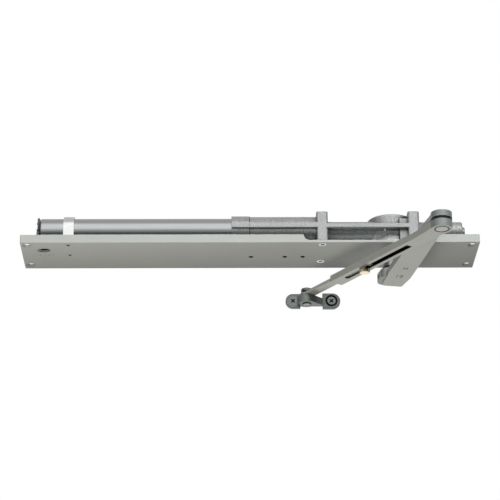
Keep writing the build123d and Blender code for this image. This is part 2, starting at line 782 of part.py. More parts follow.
def shoe():
    y0 = pivot_y + shoe_front
    y1 = y0 + shoe_thickness
    body = lobe(lobe_left_offset, lobe_left_radius, lobe_left_inner)
    body += lobe(lobe_right_offset, lobe_right_radius, lobe_right_inner)
    left = pivot_x + lobe_left_inner - shoe_web_overlap
    right = pivot_x + lobe_right_inner + shoe_web_overlap
    web_front = y0 + shoe_web_setback
    reach = shoe_lug_radius
    slant = reach * math.sqrt(0.5)
    lug = slab([(left, y1), (left, web_front), (pivot_x - reach, web_front), (pivot_x - reach, pivot_y),
                (pivot_x, pivot_y - reach), (pivot_x + slant, pivot_y - slant), (right, web_front), (right, y1)],
               lug_bottom, lug_top)
    lug += post(pivot_x, pivot_y, reach, lug_bottom, lug_top)
    body += lug
    body -= post(pivot_x, pivot_y, pivot_radius + thread_clearance, lug_bottom, lug_top)
    for offset, head in ((lobe_left_offset, shoe_head_left_radius), (lobe_right_screw, shoe_counterbore_radius)):
        body -= pin_y(pivot_x + offset, lobe_height_z, shoe_screw_radius + thread_clearance, y0, y1)
        body -= pin_y(pivot_x + offset, lobe_height_z, head + thread_clearance, y0, y0 + shoe_head_depth)
    return body


def shoe_pivot():
    pivot = post(pivot_x, pivot_y, pivot_radius, lug_bottom - pivot_rivet_height, pivot_head_bottom)
    head = post(pivot_x, pivot_y, pivot_head_radius, pivot_head_bottom, pivot_head_top)
    head = fillet(head.edges().group_by(Axis.Z)[-1], pivot_edge_radius)
    return pivot + head


def shoe_washer():
    z0 = lug_top
    z1 = lug_top + shoe_washer_thickness
    return post(pivot_x, pivot_y, shoe_washer_radius, z0, z1) - post(
        pivot_x, pivot_y, pivot_radius + thread_clearance, z0, z1)


def shoe_screws():
    y0 = pivot_y + shoe_front
    y1 = y0 + shoe_thickness
    screws = []
    for offset, head_radius in ((lobe_left_offset, shoe_head_left_radius),
                                (lobe_right_screw, shoe_head_right_radius)):
        x = pivot_x + offset
        screw = pin_y(x, lobe_height_z, head_radius, y0, y0 + shoe_head_depth)
        neck_end = y1 + shoe_screw_neck_margin
        screw += pin_y(x, lobe_height_z, shoe_screw_neck_radius, y0 + shoe_head_depth, neck_end)
        screw += pin_y(x, lobe_height_z, shoe_screw_radius, neck_end, y1 + shoe_screw_reach)
        recess = Box(shoe_recess_length, shoe_head_depth * 1.2, shoe_recess_width)
        recess += Box(shoe_recess_width, shoe_head_depth * 1.2, shoe_recess_length)
        recess = Pos(x, y0, lobe_height_z) * Rot(0, 45, 0) * recess
        screws.append((screw - recess).solid())
    return Compound(screws)


parts["mounting_plate"] = mounting_plate()
parts["closer_body"] = closer_body()
parts["tube_collar"] = tube_collar()
parts["collar_seal"] = seal_torus(0)
parts["spring_tube"] = spring_tube()
parts["tube_strap"] = tube_strap()
parts["tube_saddle"] = tube_saddle()
parts["strap_screws"] = strap_screws()
parts["body_screws"] = body_screws()
parts["adjusting_screw"] = adjusting_screw()
parts["thrust_washer"] = thrust_washer()
parts["star_wheel"] = star_wheel()
parts["spring_seat"] = spring_seat()
parts["closing_spring"] = closing_spring()
parts["piston_rack"] = piston_rack()
parts["piston_seal"] = piston_seal()
parts["check_valve"] = check_valve()
parts["pinion_shaft"] = pinion_shaft()
parts["lower_bush"] = lower_bush()
parts["upper_bush"] = upper_bush()
parts["shaft_seal"] = shaft_seal()
parts["pinion_cap"] = pinion_cap()
parts["end_plug"] = end_plug()
for valve_name, valve_place in valve_x.items():
    parts[valve_name] = valve(valve_place)
parts["main_arm"] = main_arm()
parts["arm_set_screw"] = arm_set_screw()
parts["elbow_pin"] = elbow_pin()
parts["elbow_washer"] = elbow_washer()
parts["forearm_channel"] = forearm_channel()
parts["forearm_bar"] = forearm_bar()
parts["clamp_bolt"] = clamp_bolt()
parts["shoe"] = shoe()
parts["shoe_pivot"] = shoe_pivot()
parts["shoe_washer"] = shoe_washer()
parts["shoe_screws"] = shoe_screws()

os.makedirs("parts", exist_ok=True)
for name, shape in parts.items():
    export_step(shape, "parts/" + name + ".step")
    print(name, "solids", len(shape.solids()), "volume", round(shape.volume, 1))
print("elbow", round(elbow_x, 3), round(elbow_y, 3), "pivot", round(pivot_x, 3), round(pivot_y, 3))
print("rack travel per radian", pitch_radius, "mm")
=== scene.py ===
# %% [markdown]
# This lesson dresses a concealed overhead door closer. Such a closer hides in the hollow header above a
# door: a spring tube and a small hydraulic casting lie on a long steel cover plate, and a folding arm
# hangs below it. The shapes are already solid models, so the work here is mostly light and finish.

# %% Load the solid model
import bpy
import bmesh
import math
import json
from mathutils import Matrix, Vector


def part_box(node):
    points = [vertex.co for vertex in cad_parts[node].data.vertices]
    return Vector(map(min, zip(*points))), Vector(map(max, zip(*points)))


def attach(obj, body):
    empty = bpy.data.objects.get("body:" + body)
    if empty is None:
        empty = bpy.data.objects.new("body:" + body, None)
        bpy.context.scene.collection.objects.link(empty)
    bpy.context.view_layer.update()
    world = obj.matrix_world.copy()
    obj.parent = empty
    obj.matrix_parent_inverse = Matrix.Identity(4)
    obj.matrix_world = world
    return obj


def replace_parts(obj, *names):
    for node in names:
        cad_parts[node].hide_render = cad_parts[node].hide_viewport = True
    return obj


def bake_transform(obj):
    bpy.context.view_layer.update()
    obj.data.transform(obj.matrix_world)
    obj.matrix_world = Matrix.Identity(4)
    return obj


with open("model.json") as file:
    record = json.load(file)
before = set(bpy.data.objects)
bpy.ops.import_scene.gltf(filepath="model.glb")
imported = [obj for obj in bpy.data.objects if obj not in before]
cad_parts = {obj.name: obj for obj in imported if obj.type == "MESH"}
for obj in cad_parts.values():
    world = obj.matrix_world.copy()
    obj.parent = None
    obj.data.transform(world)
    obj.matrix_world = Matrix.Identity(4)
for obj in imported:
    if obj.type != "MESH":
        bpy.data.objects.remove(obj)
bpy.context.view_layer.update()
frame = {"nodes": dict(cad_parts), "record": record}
print("pieces from the solid model:", len(frame["nodes"]))

# %% [markdown]
# Makers write colours as sRGB hex values, but a renderer adds up light in linear values. One small
# function turns the first into the second. A second one adds a shader node with its settings and links,
# so that every material below reads as a short list of what it is made of. The Mix node has several
# sockets of the same name, so its two colours and its result go by number.

# %% Colour and node helpers
MM = 0.001
COLOUR_A, COLOUR_B, MIXED = 6, 7, 2


def linear(hex_colour):
    values = []
    for start in (1, 3, 5):
        c = int(hex_colour[start:start + 2], 16) / 255
        values.append(c / 12.92 if c <= 0.04045 else ((c + 0.055) / 1.055) ** 2.4)
    return (*values, 1.0)


def add_node(tree, kind, settings=None, inputs=None):
    node = tree.nodes.new(kind)
    for name, value in (settings or {}).items():
        setattr(node, name, value)
    for name, value in (inputs or {}).items():
        socket = node.inputs[name]
        if isinstance(value, bpy.types.NodeSocket):
            tree.links.new(value, socket)
        else:
            socket.default_value = value
    return node


def new_finish(name):
    finish = bpy.data.materials.new(name)
    finish.use_nodes = True
    tree = finish.node_tree
    tree.nodes.clear()
    place = add_node(tree, "ShaderNodeTexCoord").outputs["Object"]
    return finish, tree, place


def close_finish(tree, **inputs):
    shader = add_node(tree, "ShaderNodeBsdfPrincipled", inputs=inputs)
    add_node(tree, "ShaderNodeOutputMaterial", inputs={"Surface": shader.outputs["BSDF"]})


print("a middle grey in linear values:", [round(value, 3) for value in linear("#808080")])

# %% [markdown]
# A sheet or a casting never has a knife edge. The edges could be bevelled in the mesh, but the Bevel node
# rounds only the normal near an edge and leaves the solid's size alone. The difference between that
# normal and the true one is a mask for the edge. The enamels paint it lighter there: partly paint worn
# thin, partly a painted highlight where the edge catches the light.

# %% Edge mask
EDGE_SAMPLES = 4
FLAT_MATCH, EDGE_MATCH = 0.98, 0.75


def edge_mask(tree, rounded):
    true_normal = add_node(tree, "ShaderNodeNewGeometry").outputs["True Normal"]
    match = add_node(tree, "ShaderNodeVectorMath", {"operation": "DOT_PRODUCT"}, {0: rounded, 1: true_normal})
    return add_node(tree, "ShaderNodeMapRange", inputs={
        "Value": match.outputs["Value"], "From Min": FLAT_MATCH, "From Max": EDGE_MATCH}).outputs["Result"]


print("an edge shows where the rounded normal turns more than",
      round(math.degrees(math.acos(FLAT_MATCH))), "degrees")

# %% [markdown]
# Oil mist and dust settle where two pieces meet and down in holes, and spray paint hardly reaches there.
# The Ambient Occlusion node finds such places: it looks round each point for nearby surfaces, as far as a
# few millimetres. The darkening it paints there is partly that dirt and partly a painted shade, the shade
# that falls into corners, holes and gaps. It works from the shape alone, so the dark corners stay where
# they are in every view.

# %% Grime and painted shade in the corners
FIRST_GRIME_AND_SHADE, FULL_GRIME_AND_SHADE = 0.55, 0.1
SKY_SAMPLES = 6


def grime_and_shade(tree, colour, depth_mm, amount, soot_and_shade="#1c1d1b", first=FIRST_GRIME_AND_SHADE):
    """Starts where less than the share `first` of the sky is open, and is full at the share FULL_GRIME_AND_SHADE."""
    open_sky = add_node(tree, "ShaderNodeAmbientOcclusion", {"samples": SKY_SAMPLES}, {
        "Distance": depth_mm * MM})
    closed = add_node(tree, "ShaderNodeMapRange", inputs={
        "Value": open_sky.outputs["AO"], "From Min": first, "From Max": FULL_GRIME_AND_SHADE, "To Max": amount})
    return add_node(tree, "ShaderNodeMix", {"data_type": "RGBA"}, {
        "Factor": closed.outputs["Result"], COLOUR_A: colour, COLOUR_B: linear(soot_and_shade)}).outputs[MIXED]


print("grime starts at", FIRST_GRIME_AND_SHADE, "of open sky and is full at", FULL_GRIME_AND_SHADE)

# %% [markdown]
# The cover plate, the arms and the shoe are steel in a warm grey baked enamel. It is sprayed, so it has
# a faint orange peel about a millimetre across, and it is satin, not glossy. The colour drifts a little
# with the thickness of the coat. Noise at two real sizes gives both. A thinner coat, a stain or a painted
# shade in one place is a mask with its own colour. Coats lie under the lighter edges, which are wear and
# a painted highlight, and stains and painted shade lie on top of them.

# %% Baked enamel
COAT_PATCH = 38
EDGE_RADIUS = 0.7
# How strongly the enamels darken in corners: grime and painted shade
ENAMEL_GRIME_AND_SHADE = 0.9


def baked_enamel(name, base, drift, edge, peel_mm, roughness, bump_mm, metallic, grime_and_shade_mm,
                 coats=(), stains_and_shade=()):
    finish, tree, place = new_finish(name)
    thickness = add_node(tree, "ShaderNodeTexNoise", inputs={
        "Vector": place, "Scale": 1 / (COAT_PATCH * MM), "Detail": 4.0})
    peel = add_node(tree, "ShaderNodeTexNoise", inputs={
        "Vector": place, "Scale": 1 / (peel_mm * MM), "Detail": 2.0})
    paint = add_node(tree, "ShaderNodeMix", {"data_type": "RGBA"}, {
        "Factor": thickness.outputs["Fac"], COLOUR_A: linear(base), COLOUR_B: linear(drift)}).outputs[MIXED]
    rounded = add_node(tree, "ShaderNodeBevel", {"samples": EDGE_SAMPLES}, {
        "Radius": EDGE_RADIUS * MM}).outputs["Normal"]
    layers = [(mask(tree, place), other) for mask, other in coats]
    # The lighter edge colour is wear and also a painted highlight
    layers.append((edge_mask(tree, rounded), edge))
    layers += [(mask(tree, place), other) for mask, other in stains_and_shade]
    for cover, other in layers:
        paint = add_node(tree, "ShaderNodeMix", {"data_type": "RGBA"}, {
            "Factor": cover, COLOUR_A: paint, COLOUR_B: linear(other)}).outputs[MIXED]
    bump = add_node(tree, "ShaderNodeBump", inputs={
        "Height": peel.outputs["Fac"], "Distance": bump_mm * MM, "Strength": 0.6, "Normal": rounded})
    close_finish(tree, **{"Base Color": grime_and_shade(tree, paint, grime_and_shade_mm, ENAMEL_GRIME_AND_SHADE), "Metallic": metallic,
                          "Roughness": roughness, "Normal": bump.outputs["Normal"]})
    return finish


print("enamel drifts over", COAT_PATCH, "mm and wears at edges of", EDGE_RADIUS, "mm")

# %% [markdown]
# Some places look different from the rest of their piece: a rim, a rubbed track, the floor of a
# counterbore. They could be unwrapped and painted by hand. Here a mask finds each by its real position,
# in millimetres from an axis or a face of the solid model, so it follows the model's own sizes.

# %% Mask helpers
turns = {joint["name"]: Vector(joint["pos_m"]) for joint in frame["record"]["behaviour"]["joints"]
         if "pos_m" in joint}
ELBOW, SHOE_PIVOT, SPINDLE = turns["elbow"], turns["shoe_swivel"], turns["spindle_turn"]
# A distance is never negative, so this low limit shuts nothing out
ANY_NEARER = -1.0
# How far past a face a mask starts, so that the face itself stays clear
SKIN = 0.35


def where(tree, *limits):
    """A mask that is 1 where each value lies between its two limits in millimetres, and 0 elsewhere."""
    mask = 1.0
    for value, low, high in limits:
        for operation, limit in (("GREATER_THAN", low), ("LESS_THAN", high)):
            test = add_node(tree, "ShaderNodeMath", {"operation": operation}, {0: value, 1: limit * MM})
            mask = add_node(tree, "ShaderNodeMath", {"operation": "MULTIPLY"}, {
                0: mask, 1: test.outputs["Value"]}).outputs["Value"]
    return mask


def reach_from(tree, place, point, kept=(1.0, 1.0, 0.0)):
    """Distance from an axis through a point; kept has a 0 for the axis's own direction."""
    flat = add_node(tree, "ShaderNodeVectorMath", {"operation": "MULTIPLY"}, {0: place, 1: kept})
    centre = tuple(value * keep for value, keep in zip(point, kept))
    return add_node(tree, "ShaderNodeVectorMath", {"operation": "DISTANCE"}, {
        0: flat.outputs["Vector"], 1: centre}).outputs["Value"]


print("the arm is", round((ELBOW - SPINDLE).length / MM), "mm long from spindle to elbow")

# %% [markdown]
# Three places on the arms have masks. The channel's inner walls are painted dark, and so is a band
# along the slot: both are a painted shade for the channel's unlit inside. The hub and the round ends at
# the elbow were turned before they were sprayed, so their coat is thinner and bluer. A black band round
# the gap between the arms at the elbow is a painted shade too.

# %% Masks on the arms
CHANNEL_HALF, CHANNEL_LIP = 7.2, 2.6
CHANNEL_FROM, CHANNEL_TO = 40.0, 200.0
SLOT_SHADE, SLOT_FROM, SLOT_TO = 4.0, 56.0, 132.0
HUB_REACH = 26.0
ELBOW_END = 12.2
ELBOW_GAP = 1.6
GAP_SHADE_RIM = 0.7


# Painted shade: the channel's inside and a band along the slot are drawn near black
def channel_shade(tree, place):
    heading = math.atan2(SHOE_PIVOT.y - ELBOW.y, SHOE_PIVOT.x - ELBOW.x)
    along = add_node(tree, "ShaderNodeMapping", {"vector_type": "TEXTURE"}, {
        "Vector": place, "Location": (ELBOW.x, ELBOW.y, 0.0), "Rotation": (0.0, 0.0, heading)})
    part = add_node(tree, "ShaderNodeSeparateXYZ", inputs={"Vector": along.outputs["Vector"]}).outputs
    low, high = (corner.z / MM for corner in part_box("forearm_channel"))
    walls = where(tree, (part["Y"], -CHANNEL_HALF, CHANNEL_HALF), (part["Z"], low + SKIN, high - CHANNEL_LIP),
                  (part["X"], CHANNEL_FROM, CHANNEL_TO))
    slot_shade = where(tree, (part["Y"], -SLOT_SHADE, SLOT_SHADE), (part["X"], SLOT_FROM, SLOT_TO))
    return add_node(tree, "ShaderNodeMath", {"operation": "MAXIMUM"}, {0: walls, 1: slot_shade}).outputs["Value"]


def on_turned_ends(tree, place):
    height = add_node(tree, "ShaderNodeSeparateXYZ", inputs={"Vector": place}).outputs["Z"]
    arm_bottom, forearm_bottom = (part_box(arm)[0].z / MM for arm in ("main_arm", "forearm_channel"))
    hub = where(tree, (reach_from(tree, place, SPINDLE), ANY_NEARER, HUB_REACH),
                (height, arm_bottom + SKIN, 0.0))
    elbow = where(tree, (reach_from(tree, place, ELBOW), ANY_NEARER, ELBOW_END),
                  (height, forearm_bottom + SKIN, 0.0))
    return add_node(tree, "ShaderNodeMath", {"operation": "MAXIMUM"}, {0: hub, 1: elbow}).outputs["Value"]


# A black band round the gap between the arms at the elbow: a painted shade
def elbow_gap_shade(tree, place):
    height = add_node(tree, "ShaderNodeSeparateXYZ", inputs={"Vector": place}).outputs["Z"]
    gap_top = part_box("main_arm")[0].z / MM
    return where(tree, (reach_from(tree, place, ELBOW), ANY_NEARER, ELBOW_END),
                 (height, gap_top - ELBOW_GAP - GAP_SHADE_RIM, gap_top + GAP_SHADE_RIM))


# %% [markdown]
# On the plate, the rims of the three valve holes are bare and black from the screwdriver. The plate is also
# painted darker towards its far edge, with a thin dark line along that edge: a painted shade. On the
# shoe, the sunk floor round the right screw is painted dark, a painted shade in the counterbore. The
# screws' places come from the mount that the record gives.

# %% Masks on the plate and the shoe
VALVES = ("backcheck_valve", "closing_speed_valve", "latch_valve")
VALVE_RIM = 2.9
FAR_EDGE_SHADE = 0.38
FAR_EDGE_LINE, FAR_EDGE_LINE_SHADE = 1.3, 0.7
PAST_EDGE = 1.0
COUNTERBORE_RADIUS, COUNTERBORE_DEPTH = 7.3, 4.5
THREAD_LENGTH, BARE_TIP = 10.8, 0.8
SHOE_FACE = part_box("shoe_screws")[0].y / MM
studs = next(mount for mount in frame["record"]["mounts"] if mount["name"] == "shoe_studs")
stud_middle = Vector(studs["pos_m"])
stud_reach = studs["dims"]["pcd_mm"] / 2 * MM
thread_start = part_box("shoe_screws")[1].y - (THREAD_LENGTH + BARE_TIP) * MM
left_stud, right_stud = (Vector((stud_middle.x + side * stud_reach, thread_start, stud_middle.z))
                         for side in (-1, 1))


def plate_stains_and_shade(tree, place):
    across = add_node(tree, "ShaderNodeSeparateXYZ", inputs={"Vector": place}).outputs["Y"]
    near_edge, far_edge = (corner.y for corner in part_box("mounting_plate"))
    # A thin dark line along the far edge is a painted shade of that rounded edge
    line = where(tree, (across, far_edge / MM - FAR_EDGE_LINE, far_edge / MM + PAST_EDGE))
    line = add_node(tree, "ShaderNodeMath", {"operation": "MULTIPLY"}, {0: line, 1: FAR_EDGE_LINE_SHADE})
    # Darker towards the far edge: a painted shade
    far_shade = add_node(tree, "ShaderNodeMapRange", inputs={
        "Value": across, "From Min": near_edge, "From Max": far_edge, "To Max": FAR_EDGE_SHADE})
    stains_and_shade = add_node(tree, "ShaderNodeMath", {"operation": "MAXIMUM"}, {
        0: far_shade.outputs["Result"], 1: line.outputs["Value"]}).outputs["Value"]
    for name in VALVES:
        low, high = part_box(name)
        rim = where(tree, (reach_from(tree, place, (low + high) / 2), ANY_NEARER, VALVE_RIM))
        stains_and_shade = add_node(tree, "ShaderNodeMath", {"operation": "MAXIMUM"}, {
            0: rim, 1: stains_and_shade}).outputs["Value"]
    return stains_and_shade


# The sunk floor round the right screw is painted dark: a painted shade in the counterbore
def counterbore_shade(tree, place):
    depth = add_node(tree, "ShaderNodeSeparateXYZ", inputs={"Vector": place}).outputs["Y"]
    near = reach_from(tree, place, right_stud, (1.0, 0.0, 1.0))
    return where(tree, (near, ANY_NEARER, COUNTERBORE_RADIUS),
                 (depth, SHOE_FACE + SKIN, SHOE_FACE + COUNTERBORE_DEPTH))


print("the shoe's screws are", round(2 * stud_reach / MM, 1), "mm apart")

# %% [markdown]
# One enamel covers five kinds of piece, but they don't look alike. The plate is sprayed straight on
# pressed steel. The arms and the bar have a thinner coat with metal flakes in it, so it is a little
# metallic. The shoe's coat is darker and coarser, because it lies on a casting.

# %% The five enamels
# Each enamel's edge colour is lighter than its base: wear and a painted highlight
ARM_COAT = {"edge": "#cdd0cb", "peel_mm": 0.9, "roughness": 0.34, "bump_mm": 0.03, "metallic": 0.55,
            "grime_and_shade_mm": 4.0}
TURNED_COAT = (on_turned_ends, "#8b918f")
# The black band at the elbow gap is a painted shade
ELBOW_GAP_SHADE = (elbow_gap_shade, "#161716")
plate_enamel = baked_enamel(
    "warm_grey_baked_enamel", "#a3a6a3", "#999c99", edge="#b7bab7", peel_mm=1.1, roughness=0.42,
    bump_mm=0.02, metallic=0.0, grime_and_shade_mm=5.0, stains_and_shade=[(plate_stains_and_shade, "#141514")])
arm_enamel = baked_enamel("arm_baked_enamel", "#b2b3ae", "#a6a7a2", coats=[TURNED_COAT],
                          stains_and_shade=[ELBOW_GAP_SHADE], **ARM_COAT)
forearm_enamel = baked_enamel("forearm_baked_enamel", "#b6b7b2", "#aaaba6", coats=[TURNED_COAT],
                              stains_and_shade=[(channel_shade, "#0c0d0c"), ELBOW_GAP_SHADE], **ARM_COAT)
bar_enamel = baked_enamel("bar_baked_enamel", "#c2c3be", "#b6b7b2", **ARM_COAT)
shoe_enamel = baked_enamel(
    "shoe_enamel_on_casting", "#868c8a", "#727876", edge="#a9afac", peel_mm=0.7, roughness=0.36,
    bump_mm=0.08, metallic=0.55, grime_and_shade_mm=6.0, stains_and_shade=[(counterbore_shade, "#191b1a")])
print("enamels:", plate_enamel.name, arm_enamel.name, forearm_enamel.name, bar_enamel.name, shoe_enamel.name)

# %% [markdown]
# The hydraulic body is cast in aluminium in a sand mould and left as it was cast. It shades like a dull
# metal. The sand leaves a grain of about half a millimetre, drawn here twice as coarse so that it shows,
# with darker hollows where the grain is deep. Its corners are cast round, so the Bevel node's radius is
# large here, and it softens the inner corners too. The deep recess under the flange is painted dark, a
# painted shade with some grime in it. The foot under the pinion housing, which stands in it, is left out
# of that painted shade and is less metallic, so it shows lighter.

# %% Sand cast aluminium
FOOT_REACH = 31.0
FOOT_BOTTOM, FOOT_TOP = 3.2, 18.5
# The casting's pad beside the foot starts at this X and keeps the painted shade
RECESS_PAD_X = 173.4
# How strong, deep and wide the casting's grime and painted shade are; it shows most in the recess
RECESS_GRIME_AND_SHADE, RECESS_DEPTH, RECESS_FIRST = 0.95, 13.0, 0.88
FOOT_METALLIC = 0.72
STAIN_PATCH, STAIN_AMOUNT = 14, 0.15
# Noise values between which a hollow turns into a crest, and the bump's depth in mm
HOLLOW, CREST = 0.38, 0.60
GRAIN_DEPTH = 0.3


def on_foot(tree, place):
    part = add_node(tree, "ShaderNodeSeparateXYZ", inputs={"Vector": place}).outputs
    return where(tree, (reach_from(tree, place, SPINDLE), ANY_NEARER, FOOT_REACH),
                 (part["X"], SPINDLE.x / MM - FOOT_REACH, RECESS_PAD_X), (part["Z"], FOOT_BOTTOM, FOOT_TOP))


def sand_casting(name, base, hollow, grain_mm, corner_mm, metallic, roughness):
    finish, tree, place = new_finish(name)
    grain = add_node(tree, "ShaderNodeTexNoise", inputs={
        "Vector": place, "Scale": 1 / (grain_mm * MM), "Detail": 4.0, "Roughness": 0.65})
    stain = add_node(tree, "ShaderNodeTexNoise", inputs={
        "Vector": place, "Scale": 1 / (STAIN_PATCH * MM), "Detail": 3.0})
    speck = add_node(tree, "ShaderNodeMapRange", inputs={
        "Value": grain.outputs["Fac"], "From Min": HOLLOW, "From Max": CREST})
    dark = add_node(tree, "ShaderNodeMix", {"data_type": "RGBA"}, {
        "Factor": speck.outputs["Result"], COLOUR_A: linear(hollow), COLOUR_B: linear(base)})
    toned = add_node(tree, "ShaderNodeMix", {"data_type": "RGBA", "blend_type": "MULTIPLY"}, {
        "Factor": STAIN_AMOUNT, COLOUR_A: dark.outputs[MIXED], COLOUR_B: stain.outputs["Fac"]})
    rounded = add_node(tree, "ShaderNodeBevel", {"samples": EDGE_SAMPLES}, {
        "Radius": corner_mm * MM}).outputs["Normal"]
    bump = add_node(tree, "ShaderNodeBump", inputs={
        "Height": grain.outputs["Fac"], "Distance": GRAIN_DEPTH * MM, "Strength": 0.6, "Normal": rounded})
    # The foot is kept out of the painted shade and is less metallic, so it shows lighter
    foot = on_foot(tree, place)
    amount = add_node(tree, "ShaderNodeMapRange", inputs={
        "Value": foot, "To Min": RECESS_GRIME_AND_SHADE, "To Max": 0.0}).outputs["Result"]
    shine = add_node(tree, "ShaderNodeMapRange", inputs={
        "Value": foot, "To Min": metallic, "To Max": FOOT_METALLIC}).outputs["Result"]
    dirty_and_shaded = grime_and_shade(tree, toned.outputs[MIXED], RECESS_DEPTH, amount, soot_and_shade="#202322", first=RECESS_FIRST)
    close_finish(tree, **{"Base Color": dirty_and_shaded, "Metallic": shine, "Roughness": roughness,
                          "Normal": bump.outputs["Normal"]})
    return finish


cast_aluminium = sand_casting("sand_cast_aluminium", "#eceeed", "#a9adac", grain_mm=1.1, corner_mm=1.6,
                              metallic=0.95, roughness=0.36)
print("casting:", cast_aluminium.name)

# %% [markdown]
# The spring tube is cold drawn steel. Drawing leaves fine lines along the tube, so the noise is
# stretched lengthwise: wide along X, a fraction of a millimetre round it. The lines are real at about
# 0.1 mm and drawn at 0.5 mm so that they show. Ground shafts, turned pins and spring wire have marks as
# short as they are wide, so the same function makes them with two sizes that are nearly equal.

# %% Drawn and ground steels
STEEL_EDGE, LINE_DEPTH = 0.4, 0.02
# A line is this much duller than the given roughness, and the steel between lines this much brighter
DULLER, BRIGHTER = 0.08, 0.06


def lined_steel(name, base, line, line_mm, length_mm, roughness):
    finish, tree, place = new_finish(name)
    stretched = add_node(tree, "ShaderNodeMapping", inputs={
        "Vector": place, "Scale": (1 / (length_mm * MM), 1 / (line_mm * MM), 1 / (line_mm * MM))})
    lines = add_node(tree, "ShaderNodeTexNoise", inputs={
        "Vector": stretched.outputs["Vector"], "Scale": 1.0, "Detail": 4.0, "Roughness": 0.6})
    colour = add_node(tree, "ShaderNodeMix", {"data_type": "RGBA"}, {
        "Factor": lines.outputs["Fac"], COLOUR_A: linear(line), COLOUR_B: linear(base)})
    gloss = add_node(tree, "ShaderNodeMapRange", inputs={
        "Value": lines.outputs["Fac"], "To Min": roughness + DULLER, "To Max": roughness - BRIGHTER})
    rounded = add_node(tree, "ShaderNodeBevel", {"samples": EDGE_SAMPLES}, {
        "Radius": STEEL_EDGE * MM}).outputs["Normal"]
    bump = add_node(tree, "ShaderNodeBump", inputs={
        "Height": lines.outputs["Fac"], "Distance": LINE_DEPTH * MM, "Strength": 0.5, "Normal": rounded})
    close_finish(tree, **{"Base Color": colour.outputs[MIXED], "Metallic": 1.0,
                          "Roughness": gloss.outputs["Result"], "Normal": bump.outputs["Normal"]})
    return finish


drawn_steel = lined_steel("cold_drawn_steel_tube", "#d8dbdb", "#bcbfbf", line_mm=0.5, length_mm=60,
                          roughness=0.22)
pivot_steel = lined_steel("oiled_pivot_steel", "#9b9e9e", "#868989", line_mm=0.4, length_mm=0.4,
                          roughness=0.28)
ground_steel = lined_steel("ground_shaft_steel", "#c3c6c6", "#a9acac", line_mm=0.4, length_mm=0.4,
                           roughness=0.22)
spring_wire = lined_steel("oil_tempered_spring_wire", "#5a5b5d", "#3d3e40", line_mm=0.6, length_mm=2.0,
                          roughness=0.38)
print("steels:", drawn_steel.name, pivot_steel.name, ground_steel.name, spring_wire.name)

# %% [markdown]
# The screw heads have cross recesses a millimetre or two wide. They could be cut into the solids, but at
# this size only their darkness shows, so a mask paints them dark, a painted shade for the recesses: two
# bars at right angles, turned as the screw happened to stop. The mask ends just inside the head, so no
# cross shows on the screw's tip.

# %% Cross recesses
# How far the mask reaches out past the head and into the screw
HEAD_SIDE, HEAD_DEPTH = 30.0, 2.5
# Shares of the head's radius
CROSS_WIDTH, CROSS_LENGTH = 0.36, 1.25
ALONG_Y, ALONG_Z = 1, 2


def cross_recess(tree, place, centre, normal, turned_by, width, length):
    """Masks one recess; normal is the axis, 0 to 2, that the head faces along, and sizes are in mm."""
    rotation = [0.0, 0.0, 0.0]
    rotation[normal] = math.radians(turned_by)
    turned = add_node(tree, "ShaderNodeMapping", {"vector_type": "TEXTURE"}, {
        "Vector": place, "Location": tuple(centre), "Rotation": rotation}).outputs["Vector"]
    parts = add_node(tree, "ShaderNodeSeparateXYZ", inputs={"Vector": turned}).outputs
    one, other = [part for axis, part in enumerate(parts) if axis != normal]
    bars = [where(tree, (slim, -width / 2, width / 2), (long, -length / 2, length / 2),
                  (parts[normal], -HEAD_SIDE, HEAD_DEPTH)) for slim, long in ((one, other), (other, one))]
    return add_node(tree, "ShaderNodeMath", {"operation": "MAXIMUM"}, {
        0: bars[0], 1: bars[1]}).outputs["Value"]


def crosses_in(node, head, turned_by):
    """Recesses of the plate's screws in a node whose heads, of this radius, touch the sides of its box."""
    low, high = (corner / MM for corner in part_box(node))
    xs = {round(low.x + head, 2), round(high.x - head, 2)}
    ys = {round(low.y + head, 2), round(high.y - head, 2)}
    return [(Vector((x, y, 0.0)) * MM, ALONG_Z, turned_by, head * CROSS_WIDTH, head * CROSS_LENGTH)
            for x in xs for y in ys]


BODY_HEAD, STRAP_HEAD, PLATE_CROSS_TURN = 4.6, 3.7, 30.0
body_crosses = crosses_in("body_screws", BODY_HEAD, PLATE_CROSS_TURN)
strap_crosses = crosses_in("strap_screws", STRAP_HEAD, PLATE_CROSS_TURN)
SHOE_CROSS_TURN, SHOE_CROSS_WIDTH, SHOE_CROSS_LENGTH = 45.0, 1.5, 6.0
shoe_crosses = [(stud, ALONG_Y, SHOE_CROSS_TURN, SHOE_CROSS_WIDTH, SHOE_CROSS_LENGTH)
                for stud in (left_stud, right_stud)]
print("cross recesses:", len(body_crosses) + len(strap_crosses) + len(shoe_crosses))

# %% [markdown]
# Screws, strap, washers and bolt wear a coat a few thousandths of a millimetre thick: zinc passivated
# bluish white, clear or yellow, a grey phosphate, or an oiled black. Such a film shifts its colour over a
# few millimetres, and the yellow one most of all, from gold to a faint rose and green. So a slow noise
# drives a ramp of two to four colours. Dirt, and a painted shade with it, darkens the hollows that the
# film doesn't reach.

# %% Zinc plate and other thin coats
RAMP_FROM, RAMP_SPAN = 0.3, 0.4
COAT_EDGE = 0.15
# The near black for dirt and painted shade, and how deep and how soon it darkens
DIRT_AND_SHADE_BLACK, COAT_DIRT_AND_SHADE_DEPTH, COAT_DIRT_AND_SHADE_FIRST = "#0b0c0c", 2.2, 0.72


